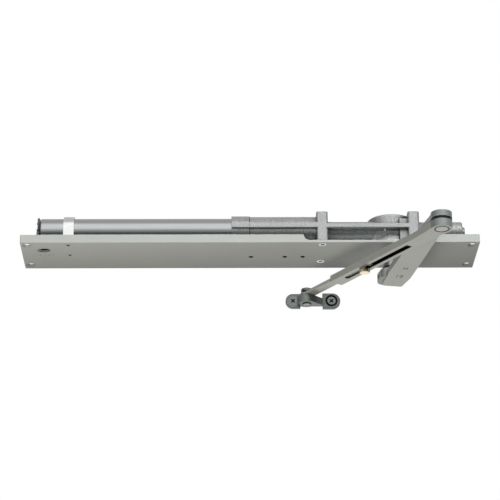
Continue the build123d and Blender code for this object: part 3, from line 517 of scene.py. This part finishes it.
def thin_coat(name, colours, roughness, patch_mm, dirt_and_shade=1.0, crosses=()):
    finish, tree, place = new_finish(name)
    film = add_node(tree, "ShaderNodeTexNoise", inputs={
        "Vector": place, "Scale": 1 / (patch_mm * MM), "Detail": 2.0})
    ramp = add_node(tree, "ShaderNodeValToRGB", inputs={"Fac": film.outputs["Fac"]})
    stops = ramp.color_ramp.elements
    while len(stops) < len(colours):
        stops.new(0.5)
    for i, colour in enumerate(colours):
        stops[i].position = RAMP_FROM + RAMP_SPAN * i / (len(colours) - 1)
        stops[i].color = linear(colour)
    rounded = add_node(tree, "ShaderNodeBevel", {"samples": EDGE_SAMPLES}, {
        "Radius": COAT_EDGE * MM}).outputs["Normal"]
    coat = ramp.outputs["Color"]
    # Each cross is painted near black: a painted shade
    for cross in crosses:
        coat = add_node(tree, "ShaderNodeMix", {"data_type": "RGBA"}, {
            "Factor": cross_recess(tree, place, *cross), COLOUR_A: coat,
            COLOUR_B: linear(DIRT_AND_SHADE_BLACK)}).outputs[MIXED]
    dirty_and_shaded = grime_and_shade(tree, coat, COAT_DIRT_AND_SHADE_DEPTH, dirt_and_shade, soot_and_shade=DIRT_AND_SHADE_BLACK, first=COAT_DIRT_AND_SHADE_FIRST)
    close_finish(tree, **{"Base Color": dirty_and_shaded, "Metallic": 1.0, "Roughness": roughness, "Normal": rounded})
    return finish


blue_zinc = thin_coat("blue_white_zinc_plate", ["#c9d2d6", "#dfe7ea", "#cfd8da"], roughness=0.28,
                      patch_mm=3.0, crosses=body_crosses)
grey_phosphate = thin_coat("grey_phosphate_coat", ["#a6a8a4", "#b2b4b0", "#abada9"], roughness=0.42,
                           patch_mm=3.0, dirt_and_shade=0.35, crosses=strap_crosses)
# This black is on the washer in the elbow gap, where it is also a painted shade for that gap
blackened_steel_gap_shade = thin_coat("blackened_steel_and_gap_shade", ["#2c2d2d", "#3a3b3b", "#323333"], roughness=0.35,
                            patch_mm=3.0)
shoe_zinc = thin_coat("dulled_zinc_plate", ["#8b9290", "#9aa19e", "#929997"], roughness=0.34,
                      patch_mm=3.0, crosses=shoe_crosses)
star_zinc = thin_coat("oiled_zinc_plate", ["#8a8e8e", "#a3a7a8", "#949898"], roughness=0.34,
                      patch_mm=3.0, dirt_and_shade=0.6)
bright_zinc = thin_coat("bright_zinc_plate", ["#f6f8f8", "#ffffff"], roughness=0.18, patch_mm=6.0)
yellow_zinc = thin_coat("yellow_chromate_zinc", ["#e6daa6", "#f6eec8", "#e9d9bd", "#d6cfa2"],
                        roughness=0.10, patch_mm=2.4, dirt_and_shade=0.6)
print("thin coats:", blue_zinc.name, grey_phosphate.name, blackened_steel_gap_shade.name, shoe_zinc.name,
      star_zinc.name, bright_zinc.name, yellow_zinc.name)

# %% [markdown]
# Inside the casting are turned bronze bushes, brass valve screws and black nitrile seals. They hardly
# show, but a part that is taken apart later has to look right too. Bronze and brass take the lined finish
# with their own colours. Nitrile is a dull black rubber with dust in its pores, less than a millimetre
# apart, and an IOR of 1.52.

# %% Bronze, brass and rubber
DUST_SPACING = 0.8
turned_bronze = lined_steel("turned_bearing_bronze", "#b08a54", "#93713f", line_mm=0.5, length_mm=0.5,
                            roughness=0.34)
turned_brass = lined_steel("turned_valve_brass", "#cbb06a", "#ad924e", line_mm=0.4, length_mm=0.4,
                           roughness=0.28)


def nitrile(name, base, dust):
    finish, tree, place = new_finish(name)
    fleck = add_node(tree, "ShaderNodeTexNoise", inputs={
        "Vector": place, "Scale": 1 / (DUST_SPACING * MM), "Detail": 3.0})
    colour = add_node(tree, "ShaderNodeMix", {"data_type": "RGBA"}, {
        "Factor": fleck.outputs["Fac"], COLOUR_A: linear(base), COLOUR_B: linear(dust)})
    close_finish(tree, **{"Base Color": colour.outputs[MIXED], "Roughness": 0.6, "IOR": 1.52})
    return finish


nitrile_rubber = nitrile("black_nitrile_rubber", "#1b1b1c", "#29292a")
print("inside:", turned_bronze.name, turned_brass.name, nitrile_rubber.name)

# %% [markdown]
# Each piece of the solid model now takes its finish. They could be given by hand in the viewport, but a
# table by name shows at a glance what every piece is made of, and it stops with an error if one is missed.

# %% Give each piece its finish
finishes = {
    "mounting_plate": plate_enamel, "closer_body": cast_aluminium, "tube_collar": cast_aluminium,
    "collar_seal": nitrile_rubber, "spring_tube": drawn_steel, "tube_strap": bright_zinc,
    "tube_saddle": nitrile_rubber, "strap_screws": grey_phosphate, "body_screws": blue_zinc,
    "adjusting_screw": ground_steel, "thrust_washer": turned_bronze, "star_wheel": blue_zinc,
    "spring_seat": ground_steel, "closing_spring": spring_wire, "piston_rack": ground_steel,
    "piston_seal": nitrile_rubber, "check_valve": turned_brass, "pinion_shaft": ground_steel,
    "lower_bush": turned_bronze, "upper_bush": turned_bronze, "shaft_seal": nitrile_rubber,
    "pinion_cap": cast_aluminium, "end_plug": ground_steel, "backcheck_valve": turned_brass,
    "closing_speed_valve": turned_brass, "latch_valve": turned_brass, "main_arm": arm_enamel,
    "arm_set_screw": ground_steel, "elbow_pin": bar_enamel, "elbow_washer": blackened_steel_gap_shade,
    "forearm_channel": forearm_enamel, "forearm_bar": bar_enamel, "clamp_bolt": yellow_zinc,
    "shoe": shoe_enamel, "shoe_pivot": pivot_steel, "shoe_washer": bright_zinc, "shoe_screws": shoe_zinc,
}
for name, piece in frame["nodes"].items():
    piece.data.materials.clear()
    piece.data.materials.append(finishes[name])
print("dressed:", len(finishes))

# %% [markdown]
# What repeats on this closer is small and regular: the lobes of the adjuster's star wheel, the threads of
# the shoe's screws, the coils of the closing spring and the rings round the joints. Each could be
# modelled by hand or with an array, but a Geometry Nodes tree keeps its sizes as named inputs that can be
# changed later. Two helpers open and close a tree, one runs it once for a plain mesh, and one makes any
# mesh a piece.

# %% Geometry Nodes helpers
SOCKET_KINDS = {float: "NodeSocketFloat", int: "NodeSocketInt", tuple: "NodeSocketVector"}


def open_tree(name, sizes):
    tree = bpy.data.node_groups.new(name, "GeometryNodeTree")
    tree.interface.new_socket("Geometry", in_out="OUTPUT", socket_type="NodeSocketGeometry")
    for label, value in sizes.items():
        tree.interface.new_socket(label, in_out="INPUT", socket_type=SOCKET_KINDS[type(value)])
    return tree, add_node(tree, "NodeGroupInput").outputs


def close_tree(tree, geometry, finish):
    real = add_node(tree, "GeometryNodeRealizeInstances", inputs={"Geometry": geometry})
    dressed = add_node(tree, "GeometryNodeSetMaterial", inputs={
        "Geometry": real.outputs["Geometry"], "Material": finish})
    add_node(tree, "NodeGroupOutput", inputs={"Geometry": dressed.outputs["Geometry"]})


def keep(name, mesh, body, slot):
    """Makes a mesh a piece that rides on a body, if it is given one. The slot argument is not used."""
    mesh.name = name
    piece = bpy.data.objects.new(name, mesh)
    bpy.context.scene.collection.objects.link(piece)
    if body:
        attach(piece, body)
    print(name, "triangles:", sum(len(face.vertices) - 2 for face in mesh.polygons))
    return piece


def grow(name, tree, sizes, body, slot):
    """Runs a tree with these sizes once and keeps its mesh."""
    seed = bpy.data.objects.new(name + "_seed", bpy.data.meshes.new(name + "_seed"))
    bpy.context.scene.collection.objects.link(seed)
    modifier = seed.modifiers.new("grow", "NODES")
    modifier.node_group = tree
    for socket in tree.interface.items_tree:
        if socket.in_out == "INPUT":
            modifier[socket.identifier] = sizes[socket.name]
    graph = bpy.context.evaluated_depsgraph_get()
    mesh = bpy.data.meshes.new_from_object(seed.evaluated_get(graph))
    bpy.data.objects.remove(seed)
    return keep(name, mesh, body, slot)


# %% [markdown]
# The star wheel is stamped from thin strip. Its round lobes are set a little to one side and the other
# in turn, so that a screwdriver's tip catches them through the slot in the plate. One lobe is a short
# round peg. The tree puts it on the points of a circle, shifts every second one, and adds the disc.

# %% Star wheel
WHEEL_X = -246.9
tube_low, tube_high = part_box("spring_tube")
tube_axis = ((tube_low.y + tube_high.y) / 2, (tube_low.z + tube_high.z) / 2)


def star_wheel_tree(sizes):
    tree, given = open_tree("star_wheel_tree", sizes)
    disc = add_node(tree, "GeometryNodeMeshCylinder", inputs={
        "Vertices": 72, "Radius": given["Disc radius"], "Depth": given["Thickness"]})
    lobe = add_node(tree, "GeometryNodeMeshCylinder", inputs={
        "Vertices": 14, "Radius": given["Lobe radius"], "Depth": given["Thickness"]})
    circle = add_node(tree, "GeometryNodeMeshCircle", inputs={
        "Vertices": given["Lobes"], "Radius": given["Lobe circle"]})
    index = add_node(tree, "GeometryNodeInputIndex").outputs["Index"]
    odd = add_node(tree, "ShaderNodeMath", {"operation": "MODULO"}, {0: index, 1: 2.0}).outputs["Value"]
    side = add_node(tree, "ShaderNodeMath", {"operation": "MULTIPLY_ADD"}, {0: odd, 1: 2.0, 2: -1.0})
    shift = add_node(tree, "ShaderNodeMath", {"operation": "MULTIPLY"}, {
        0: side.outputs["Value"], 1: given["Set"]}).outputs["Value"]
    offset = add_node(tree, "ShaderNodeCombineXYZ", inputs={"Z": shift}).outputs["Vector"]
    staggered = add_node(tree, "GeometryNodeSetPosition", inputs={
        "Geometry": circle.outputs["Mesh"], "Offset": offset})
    lobes = add_node(tree, "GeometryNodeInstanceOnPoints", inputs={
        "Points": staggered.outputs["Geometry"], "Instance": lobe.outputs["Mesh"]})
    whole = add_node(tree, "GeometryNodeJoinGeometry")
    tree.links.new(disc.outputs["Mesh"], whole.inputs["Geometry"])
    tree.links.new(lobes.outputs["Instances"], whole.inputs["Geometry"])
    upright = add_node(tree, "GeometryNodeTransform", inputs={
        "Geometry": whole.outputs["Geometry"], "Rotation": (0.0, math.pi / 2, 0.0),
        "Translation": given["Centre"]})
    close_tree(tree, upright.outputs["Geometry"], star_zinc)
    return tree


wheel_sizes = {"Lobes": 26, "Disc radius": 17.0 * MM, "Lobe circle": 17.3 * MM, "Lobe radius": 1.5 * MM,
               "Thickness": 1.3 * MM, "Set": 0.45 * MM, "Centre": (WHEEL_X * MM, *tube_axis)}
star = grow("stamped_star_wheel", star_wheel_tree(wheel_sizes), wheel_sizes, "adjuster", "plated_screws")
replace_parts(star, "star_wheel")

# %% [markdown]
# The shoe's two screws stand out behind it with their threads bare. A thread is a ridge wound round the
# shank. A bump map would leave its outline smooth, so the tree makes a helix, sweeps a small triangle
# along it, and sets a copy at each screw.

# %% Screw threads
SUNK = 0.05


def thread_tree(sizes):
    tree, given = open_tree("thread_tree", sizes)
    turns_made = add_node(tree, "ShaderNodeMath", {"operation": "DIVIDE"}, {
        0: given["Length"], 1: given["Pitch"]}).outputs["Value"]
    helix = add_node(tree, "GeometryNodeCurveSpiral", inputs={
        "Resolution": 20, "Rotations": turns_made, "Start Radius": given["Root radius"],
        "End Radius": given["Root radius"], "Height": given["Length"]})
    ridge = add_node(tree, "GeometryNodeCurvePrimitiveCircle", {"mode": "RADIUS"}, {
        "Resolution": 3, "Radius": given["Ridge"]})
    wound = add_node(tree, "GeometryNodeCurveToMesh", inputs={
        "Curve": helix.outputs["Curve"], "Profile Curve": ridge.outputs["Curve"], "Fill Caps": True})
    pair = add_node(tree, "GeometryNodeMeshLine", {"mode": "END_POINTS"}, {
        "Count": 2, "Start Location": given["First"], "Offset": given["Second"]})
    threads = add_node(tree, "GeometryNodeInstanceOnPoints", inputs={
        "Points": pair.outputs["Mesh"], "Instance": wound.outputs["Mesh"],
        "Rotation": (-math.pi / 2, 0.0, 0.0)})
    close_tree(tree, threads.outputs["Instances"], shoe_zinc)
    return tree


thread_sizes = {"Root radius": (studs["dims"]["stud_r_mm"] - SUNK) * MM, "Ridge": 0.36 * MM,
                "Pitch": 1.0 * MM, "Length": THREAD_LENGTH * MM, "First": tuple(left_stud),
                "Second": tuple(right_stud)}
grow("shoe_screw_threads", thread_tree(thread_sizes), thread_sizes, "shoe", "plated_screws")

# %% [markdown]
# The closing spring is pressed together from both ends: by the piston as the arm swings, and by its seat
# as the star wheel turns. One solid can't follow two joints, so the spring is made as two lengths of one
# helix that meet at a whole number of coils. Both lengths stay where they are made and ride on no body.

# %% Closing spring
COIL_RADIUS = 11.4
COIL_PITCH = 15.0


def coil_tree(sizes):
    tree, given = open_tree("coil_tree", sizes)
    coils = add_node(tree, "ShaderNodeMath", {"operation": "DIVIDE"}, {
        0: given["Length"], 1: given["Pitch"]}).outputs["Value"]
    helix = add_node(tree, "GeometryNodeCurveSpiral", inputs={
        "Resolution": 28, "Rotations": coils, "Start Radius": given["Coil radius"],
        "End Radius": given["Coil radius"], "Height": given["Length"]})
    wire = add_node(tree, "GeometryNodeCurvePrimitiveCircle", {"mode": "RADIUS"}, {
        "Resolution": 14, "Radius": given["Wire radius"]})
    wound = add_node(tree, "GeometryNodeCurveToMesh", inputs={
        "Curve": helix.outputs["Curve"], "Profile Curve": wire.outputs["Curve"], "Fill Caps": True})
    smooth = add_node(tree, "GeometryNodeSetShadeSmooth", inputs={"Geometry": wound.outputs["Mesh"]})
    laid = add_node(tree, "GeometryNodeTransform", inputs={
        "Geometry": smooth.outputs["Geometry"], "Rotation": (0.0, math.pi / 2, 0.0),
        "Translation": given["Start"]})
    close_tree(tree, laid.outputs["Geometry"], spring_wire)
    return tree


spring_low, spring_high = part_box("closing_spring")
wire_radius = (spring_high.z - spring_low.z) / 2 - COIL_RADIUS * MM
spring_start = spring_low.x + wire_radius
spring_end = spring_high.x - wire_radius
left_coils = round((spring_end - spring_start) / 2 / (COIL_PITCH * MM))
meeting = spring_start + left_coils * COIL_PITCH * MM
coil_sizes = {"Length": meeting - spring_start, "Pitch": COIL_PITCH * MM, "Coil radius": COIL_RADIUS * MM,
              "Wire radius": wire_radius, "Start": (spring_start, *tube_axis)}
coil_maker = coil_tree(coil_sizes)
seat_end = grow("closing_spring_seat_end", coil_maker, coil_sizes, None, "spring_steel")
coil_sizes.update({"Length": spring_end - meeting, "Start": (meeting, *tube_axis)})
piston_end = grow("closing_spring_piston_end", coil_maker, coil_sizes, None, "spring_steel")
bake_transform(seat_end)
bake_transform(piston_end)
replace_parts(seat_end, "closing_spring")
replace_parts(piston_end, "closing_spring")

# %% [markdown]
# Six small black rubber rings finish the joints, and their black is a painted shade for the gaps there:
# one fills the gap between the two arms at the elbow and one goes round the foot of the elbow pin.
# Another sits round the spindle's neck, two sit under the head and round the foot of the shoe's pivot,
# and one lies where the collar is joined. A torus would do for one, but a circle swept along a circle is
# a tree that takes any ring's sizes.

# %% Rings
def ring_tree(sizes):
    tree, given = open_tree("ring_tree", sizes)
    path = add_node(tree, "GeometryNodeCurvePrimitiveCircle", {"mode": "RADIUS"}, {
        "Resolution": 64, "Radius": given["Radius"]})
    section = add_node(tree, "GeometryNodeCurvePrimitiveCircle", {"mode": "RADIUS"}, {
        "Resolution": 12, "Radius": given["Section"]})
    swept = add_node(tree, "GeometryNodeCurveToMesh", inputs={
        "Curve": path.outputs["Curve"], "Profile Curve": section.outputs["Curve"]})
    smooth = add_node(tree, "GeometryNodeSetShadeSmooth", inputs={"Geometry": swept.outputs["Mesh"]})
    placed = add_node(tree, "GeometryNodeTransform", inputs={
        "Geometry": smooth.outputs["Geometry"], "Rotation": given["Turn"], "Translation": given["Centre"]})
    close_tree(tree, placed.outputs["Geometry"], nitrile_rubber)
    return tree


def on_axis(axis, height):
    return (axis.x, axis.y, height * MM)


# Each black ring stands in for the shade in a joint's gap: a painted shade
UPRIGHT, FACING_X = (0.0, 0.0, 0.0), (0.0, math.pi / 2, 0.0)
JOINT_SHADE_RADIUS, JOINT_SHADE_HALF, JOINT_SHADE_PAST_COLLAR = 19.8, 0.45, 0.2
# Heights in mm, a little inside or outside the faces of the solid model
elbow_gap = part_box("main_arm")[0].z / MM - ELBOW_GAP / 2
pin_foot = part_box("elbow_pin")[0].z / MM + 0.4
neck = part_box("main_arm")[1].z / MM + 5.4
head_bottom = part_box("shoe_pivot")[1].z / MM - 3.4
rivet_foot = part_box("shoe_pivot")[0].z / MM + 0.5
joint_line = (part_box("tube_collar")[1].x + JOINT_SHADE_PAST_COLLAR * MM, *tube_axis)
# Name, centre, radius and half thickness in mm, turn, and body
RINGS = [("elbow_gap_shade_ring", on_axis(ELBOW, elbow_gap), 10.8, 0.78, UPRIGHT, "forearm"),
         ("elbow_foot_shade_ring", on_axis(ELBOW, pin_foot), 7.8, 0.75, UPRIGHT, "forearm"),
         ("neck_shade_ring", on_axis(SPINDLE, neck), 9.9, 0.9, UPRIGHT, "spindle"),
         ("pivot_head_shade_ring", on_axis(SHOE_PIVOT, head_bottom), 6.0, 0.5, UPRIGHT, "bar"),
         ("pivot_foot_shade_ring", on_axis(SHOE_PIVOT, rivet_foot), 4.7, 0.55, UPRIGHT, "shoe"),
         ("collar_joint_shade_ring", joint_line, JOINT_SHADE_RADIUS, JOINT_SHADE_HALF, FACING_X, "frame")]
ring_maker = ring_tree({"Radius": 0.0, "Section": 0.0, "Centre": UPRIGHT, "Turn": UPRIGHT})
for name, centre, radius, section, turn, body in RINGS:
    grow(name, ring_maker, {"Radius": radius * MM, "Section": section * MM, "Centre": centre, "Turn": turn},
         body, "seal_rubber")

# %% [markdown]
# A small steel ball pressed into the casting closes the end of a drilled oil passage. It is one of the
# few bright points in the recess. A subdivided icosahedron has no poles, so its highlight stays round.

# %% Ball plug
BALL_RADIUS = 1.9
BALL_AT = (157.2, -34.0, 18.8)
ball_shell = bmesh.new()
bmesh.ops.create_icosphere(ball_shell, subdivisions=3, radius=BALL_RADIUS * MM,
                           matrix=Matrix.Translation(Vector(BALL_AT) * MM))
for face in ball_shell.faces:
    face.smooth = True
ball_mesh = bpy.data.meshes.new("oil_passage_ball")
ball_shell.to_mesh(ball_mesh)
ball_shell.free()
ball_mesh.materials.append(bright_zinc)
keep("oil_passage_ball", ball_mesh, "frame", "hardened_steel")

# %% [markdown]
# The rubber pad between the tube and the plate fills the far side of the adjuster slot. It is cut from
# strip: flat below, hollowed above to the tube's curve. A block with the tube cut out of it would do,
# but its outline is simple, so it is drawn once, with the arc from the circle's formula, and pushed
# along X.

# %% Tube pad
# The pad's black, seen through the adjuster slot, also stands in for the shade inside the slot: a painted
# shade
PAD_LEFT, PAD_RIGHT = -245.3, -225.0
PAD_FRONT, PAD_BACK = -10.4, -0.9
PAD_CLEARANCE = 0.15
PAD_STEPS = 14
pad_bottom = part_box("tube_saddle")[0].z / MM
hollow_radius = (tube_high.z - tube_low.z) / 2 / MM + PAD_CLEARANCE
axis_y, axis_z = (value / MM for value in tube_axis)
outline = [(PAD_FRONT, pad_bottom), (PAD_BACK, pad_bottom)]
for step in range(PAD_STEPS + 1):
    y = PAD_BACK + (PAD_FRONT - PAD_BACK) * step / PAD_STEPS
    outline.append((y, axis_z - math.sqrt(hollow_radius ** 2 - (y - axis_y) ** 2)))
pad_shell = bmesh.new()
corners = [pad_shell.verts.new((PAD_LEFT * MM, y * MM, z * MM)) for y, z in outline]
pushed = bmesh.ops.extrude_face_region(pad_shell, geom=[pad_shell.faces.new(corners)])
moved = [item for item in pushed["geom"] if isinstance(item, bmesh.types.BMVert)]
bmesh.ops.translate(pad_shell, verts=moved, vec=((PAD_RIGHT - PAD_LEFT) * MM, 0.0, 0.0))
bmesh.ops.recalc_face_normals(pad_shell, faces=pad_shell.faces)
pad_mesh = bpy.data.meshes.new("tube_pad")
pad_shell.to_mesh(pad_mesh)
pad_shell.free()
pad_mesh.materials.append(nitrile_rubber)
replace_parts(keep("tube_pad", pad_mesh, "frame", "seal_rubber"), "tube_saddle")

# %% [markdown]
# Plain numbers help a fitter: one to five round the slot tell which way the spring tightens, and two
# pairs on the main arm tell its size. They are stamped and dark with grime. A text object gives their
# outlines. It becomes a mesh first, and then the mesh is turned to face down and put in its place.

# %% Stamped numbers
# The number, its x, y and size in mm, and its turn in degrees
PLATE_NUMBERS = [("1", -249.9, -7.2, 4.0, 40), ("2", -245.6, -2.0, 4.0, 18), ("3", -240.6, 0.4, 4.0, 0),
                 ("4", -235.6, -0.8, 4.0, -18), ("5", -231.0, -4.4, 4.0, -40)]
ARM_NUMBERS = [("12", 172.5, -24.0, 10.0, 12), ("34", 177.6, -48.0, 7.0, 12)]
STAMP_DEPTH, STAMP_PROUD = 0.03, 0.02
stamp_grime = nitrile("grime_in_stamped_numbers", "#1d1f1d", "#343633")


def stamp(name, numbers, face_z):
    shell = bmesh.new()
    for words, x, y, size, turned_by in numbers:
        text = bpy.data.curves.new(name, "FONT")
        text.body = words
        text.size = size * MM
        text.align_x = "CENTER"
        text.align_y = "CENTER"
        text.extrude = STAMP_DEPTH * MM
        holder = bpy.data.objects.new(name, text)
        bpy.context.scene.collection.objects.link(holder)
        graph = bpy.context.evaluated_depsgraph_get()
        glyphs = bpy.data.meshes.new_from_object(holder.evaluated_get(graph))
        bpy.data.objects.remove(holder)
        face_down = Matrix.Rotation(math.radians(turned_by), 4, "Z") @ Matrix.Rotation(math.pi, 4, "X")
        glyphs.transform(Matrix.Translation((x * MM, y * MM, face_z - STAMP_PROUD * MM)) @ face_down)
        shell.from_mesh(glyphs)
    mesh = bpy.data.meshes.new(name)
    shell.to_mesh(mesh)
    shell.free()
    mesh.materials.append(stamp_grime)
    return mesh


arm_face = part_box("main_arm")[0].z
keep("slot_numbers", stamp("slot_numbers", PLATE_NUMBERS, 0.0), "frame", "plate_paint")
keep("arm_numbers", stamp("arm_numbers", ARM_NUMBERS, arm_face), "spindle", "arm_paint")

# %% [markdown]
# The picture was taken from below with a long lens, as a catalogue shows what hangs from a header. The
# camera's place and angles were worked out from the plate's corners and holes.

# %% Camera
CAMERA_AT = Vector((-41.0, -2227.8, -912.6)) * MM
YAW, PITCH, ROLL = math.radians(1.06), math.radians(22.423), math.radians(-0.502)
LENS, FILM_WIDTH = 147.4, 36.0
forward = Vector((math.sin(YAW) * math.cos(PITCH), math.cos(YAW) * math.cos(PITCH), math.sin(PITCH)))
right = Vector((math.cos(YAW), -math.sin(YAW), 0.0))
up = right.cross(forward)
right_rolled = math.cos(ROLL) * right + math.sin(ROLL) * up
up_rolled = math.cos(ROLL) * up - math.sin(ROLL) * right
aimed = Matrix((right_rolled, up_rolled, -forward)).transposed().to_4x4()
camera_data = bpy.data.cameras.new("long_lens")
camera_data.lens = LENS
camera_data.sensor_width = FILM_WIDTH
camera_data.clip_end = 50.0
camera = bpy.data.objects.new("long_lens", camera_data)
camera.matrix_world = Matrix.Translation(CAMERA_AT) @ aimed
bpy.context.scene.collection.objects.link(camera)
bpy.context.scene.camera = camera
bpy.context.scene.view_settings.view_transform = "Standard"
print("camera looks", [round(v, 3) for v in forward])

# %% [markdown]
# A soft box in front lights the pale lip, a smaller one low on the left lights the plate's lower face and
# lets the arms shade it softly, and two more light the top and the back. They are hidden from glossy
# rays: a lamp's hard rectangle in polished metal would look wrong here.

# %% Lamps
MIDDLE = (0.0, 0.0, 0.0)
PLAIN_WHITE = (1.0, 1.0, 1.0)


def soft_box(name, place, aim, size, power, tint):
    data = bpy.data.lights.new(name, "AREA")
    data.shape = "RECTANGLE"
    data.size = size[0]
    data.size_y = size[1]
    data.energy = power
    data.color = tint
    lamp = bpy.data.objects.new(name, data)
    direction = Vector(aim) - Vector(place)
    lamp.matrix_world = Matrix.Translation(place) @ direction.to_track_quat("-Z", "Y").to_matrix().to_4x4()
    lamp.visible_glossy = False
    bpy.context.scene.collection.objects.link(lamp)
    print(name, "watts:", power)


soft_box("front_box", (0.8, -1.6, 1.4), MIDDLE, size=(1.8, 1.0), power=92, tint=(0.98, 0.99, 1.0))
soft_box("top_box", (0.3, 0.2, 1.9), MIDDLE, size=(1.8, 1.0), power=8, tint=PLAIN_WHITE)
soft_box("back_box", (-0.5, 1.9, 1.1), MIDDLE, size=(1.8, 1.0), power=45, tint=PLAIN_WHITE)
soft_box("low_box", (-0.45, -0.45, -0.85), (-0.10, 0.0, 0.0), size=(0.6, 0.6), power=9.2,
         tint=(1.0, 0.975, 0.87))

# %% [markdown]
# Metal shows no lamp, so it needs walls to reflect. The world holds them: two broad bright bands and dark
# between, as a ramp over the angle from the front gives them, and dimmer to both sides. An image of a
# studio could do this, but a ramp has a few values that can be tuned one by one. To the camera the world
# is plain white, and as a light it is weak, so the lamps set the shading.

# %% Studio walls
# Angle in degrees from the front horizon, over the top to the back, and how bright the studio is there
STUDIO = [(-180, 0.95), (-150, 0.90), (-120, 0.40), (-70, 0.24), (-20, 0.10), (6, 0.42), (22, 1.0), (56, 1.0),
          (72, 0.46), (120, 0.50), (156, 0.62), (180, 0.95)]
SIDE_FROM, SIDE_TO, SIDE_LEVEL = 0.35, 0.85, 0.42
AS_A_LIGHT = 0.20

world = bpy.data.worlds.new("white_studio")
bpy.context.scene.world = world
world.use_nodes = True
sky = world.node_tree
sky.nodes.clear()
ray = add_node(sky, "ShaderNodeLightPath").outputs
through = add_node(sky, "ShaderNodeMath", {"operation": "MAXIMUM"}, {
    0: ray["Is Camera Ray"], 1: ray["Is Transmission Ray"]})
seen = add_node(sky, "ShaderNodeMath", {"operation": "MAXIMUM"}, {
    0: through.outputs["Value"], 1: ray["Is Glossy Ray"]})
strength = add_node(sky, "ShaderNodeMapRange", inputs={"Value": seen.outputs["Value"], "To Min": AS_A_LIGHT})
direction = add_node(sky, "ShaderNodeTexCoord").outputs["Generated"]
way = add_node(sky, "ShaderNodeSeparateXYZ", inputs={"Vector": direction}).outputs
front = add_node(sky, "ShaderNodeMath", {"operation": "MULTIPLY"}, {0: way["Y"], 1: -1.0})
height = add_node(sky, "ShaderNodeMath", {"operation": "ARCTAN2"}, {0: way["Z"], 1: front.outputs["Value"]})
turned = add_node(sky, "ShaderNodeMapRange", inputs={
    "Value": height.outputs["Value"], "From Min": -math.pi, "From Max": math.pi})
bands = add_node(sky, "ShaderNodeValToRGB", inputs={"Fac": turned.outputs["Result"]})
for _ in range(len(STUDIO) - 2):
    bands.color_ramp.elements.new(0.5)
for stop, (angle, level) in zip(bands.color_ramp.elements, STUDIO):
    stop.position = (angle + 180) / 360
    stop.color = (level, level, level, 1.0)
aside = add_node(sky, "ShaderNodeMath", {"operation": "ABSOLUTE"}, {0: way["X"]})
dimmed = add_node(sky, "ShaderNodeMapRange", inputs={
    "Value": aside.outputs["Value"], "From Min": SIDE_FROM, "From Max": SIDE_TO, "To Min": 1.0,
    "To Max": SIDE_LEVEL})
walls = add_node(sky, "ShaderNodeVectorMath", {"operation": "SCALE"}, {
    0: bands.outputs["Color"], "Scale": dimmed.outputs["Result"]})
tone = add_node(sky, "ShaderNodeMix", {"data_type": "RGBA"}, {
    "Factor": ray["Is Camera Ray"], COLOUR_A: walls.outputs["Vector"], COLOUR_B: linear("#ffffff")})
glow = add_node(sky, "ShaderNodeBackground", inputs={
    "Color": tone.outputs[MIXED], "Strength": strength.outputs["Result"]})
add_node(sky, "ShaderNodeOutputWorld", inputs={"Surface": glow.outputs["Background"]})
print("studio bands:", len(STUDIO))

# %% [markdown]
# The floor is white paper far below the part and below the camera, which looks up. It is bright to the
# camera. It is bright in reflections only behind the part, because white below would wash out the tube's
# dark underside. As a light it is grey, so it doesn't fill the shadows.

# %% Floor
FLOOR_Z, FLOOR_HALF = -2.2, 12.0
BEHIND_FROM, BEHIND_TO = 1.6, 4.2
PAPER_GLOW = 0.85
floor_mesh = bpy.data.meshes.new("pale_floor")
floor_mesh.from_pydata([(-FLOOR_HALF, -FLOOR_HALF, FLOOR_Z), (FLOOR_HALF, -FLOOR_HALF, FLOOR_Z),
                        (FLOOR_HALF, FLOOR_HALF, FLOOR_Z), (-FLOOR_HALF, FLOOR_HALF, FLOOR_Z)],
                       [], [(0, 1, 2, 3)])
floor = bpy.data.objects.new("pale_floor", floor_mesh)
bpy.context.scene.collection.objects.link(floor)
white_paper, paper, spot = new_finish("white_paper")
paper_ray = add_node(paper, "ShaderNodeLightPath").outputs
behind = add_node(paper, "ShaderNodeMapRange", inputs={
    "Value": add_node(paper, "ShaderNodeSeparateXYZ", inputs={"Vector": spot}).outputs["Y"],
    "From Min": BEHIND_FROM, "From Max": BEHIND_TO}).outputs["Result"]
mirrored = add_node(paper, "ShaderNodeMath", {"operation": "MULTIPLY"}, {
    0: paper_ray["Is Glossy Ray"], 1: behind}).outputs["Value"]
shown = add_node(paper, "ShaderNodeMath", {"operation": "MAXIMUM"}, {
    0: paper_ray["Is Camera Ray"], 1: mirrored}).outputs["Value"]
shade = add_node(paper, "ShaderNodeMix", {"data_type": "RGBA"}, {
    "Factor": shown, COLOUR_A: linear("#6e6e6d"), COLOUR_B: linear("#f4f4f2")}).outputs[MIXED]
lift = add_node(paper, "ShaderNodeMapRange", inputs={"Value": shown, "To Max": PAPER_GLOW}).outputs["Result"]
close_finish(paper, **{"Base Color": shade, "Roughness": 0.8, "Emission Color": linear("#ffffff"),
                       "Emission Strength": lift})
floor_mesh.materials.append(white_paper)
print("floor:", floor.name)
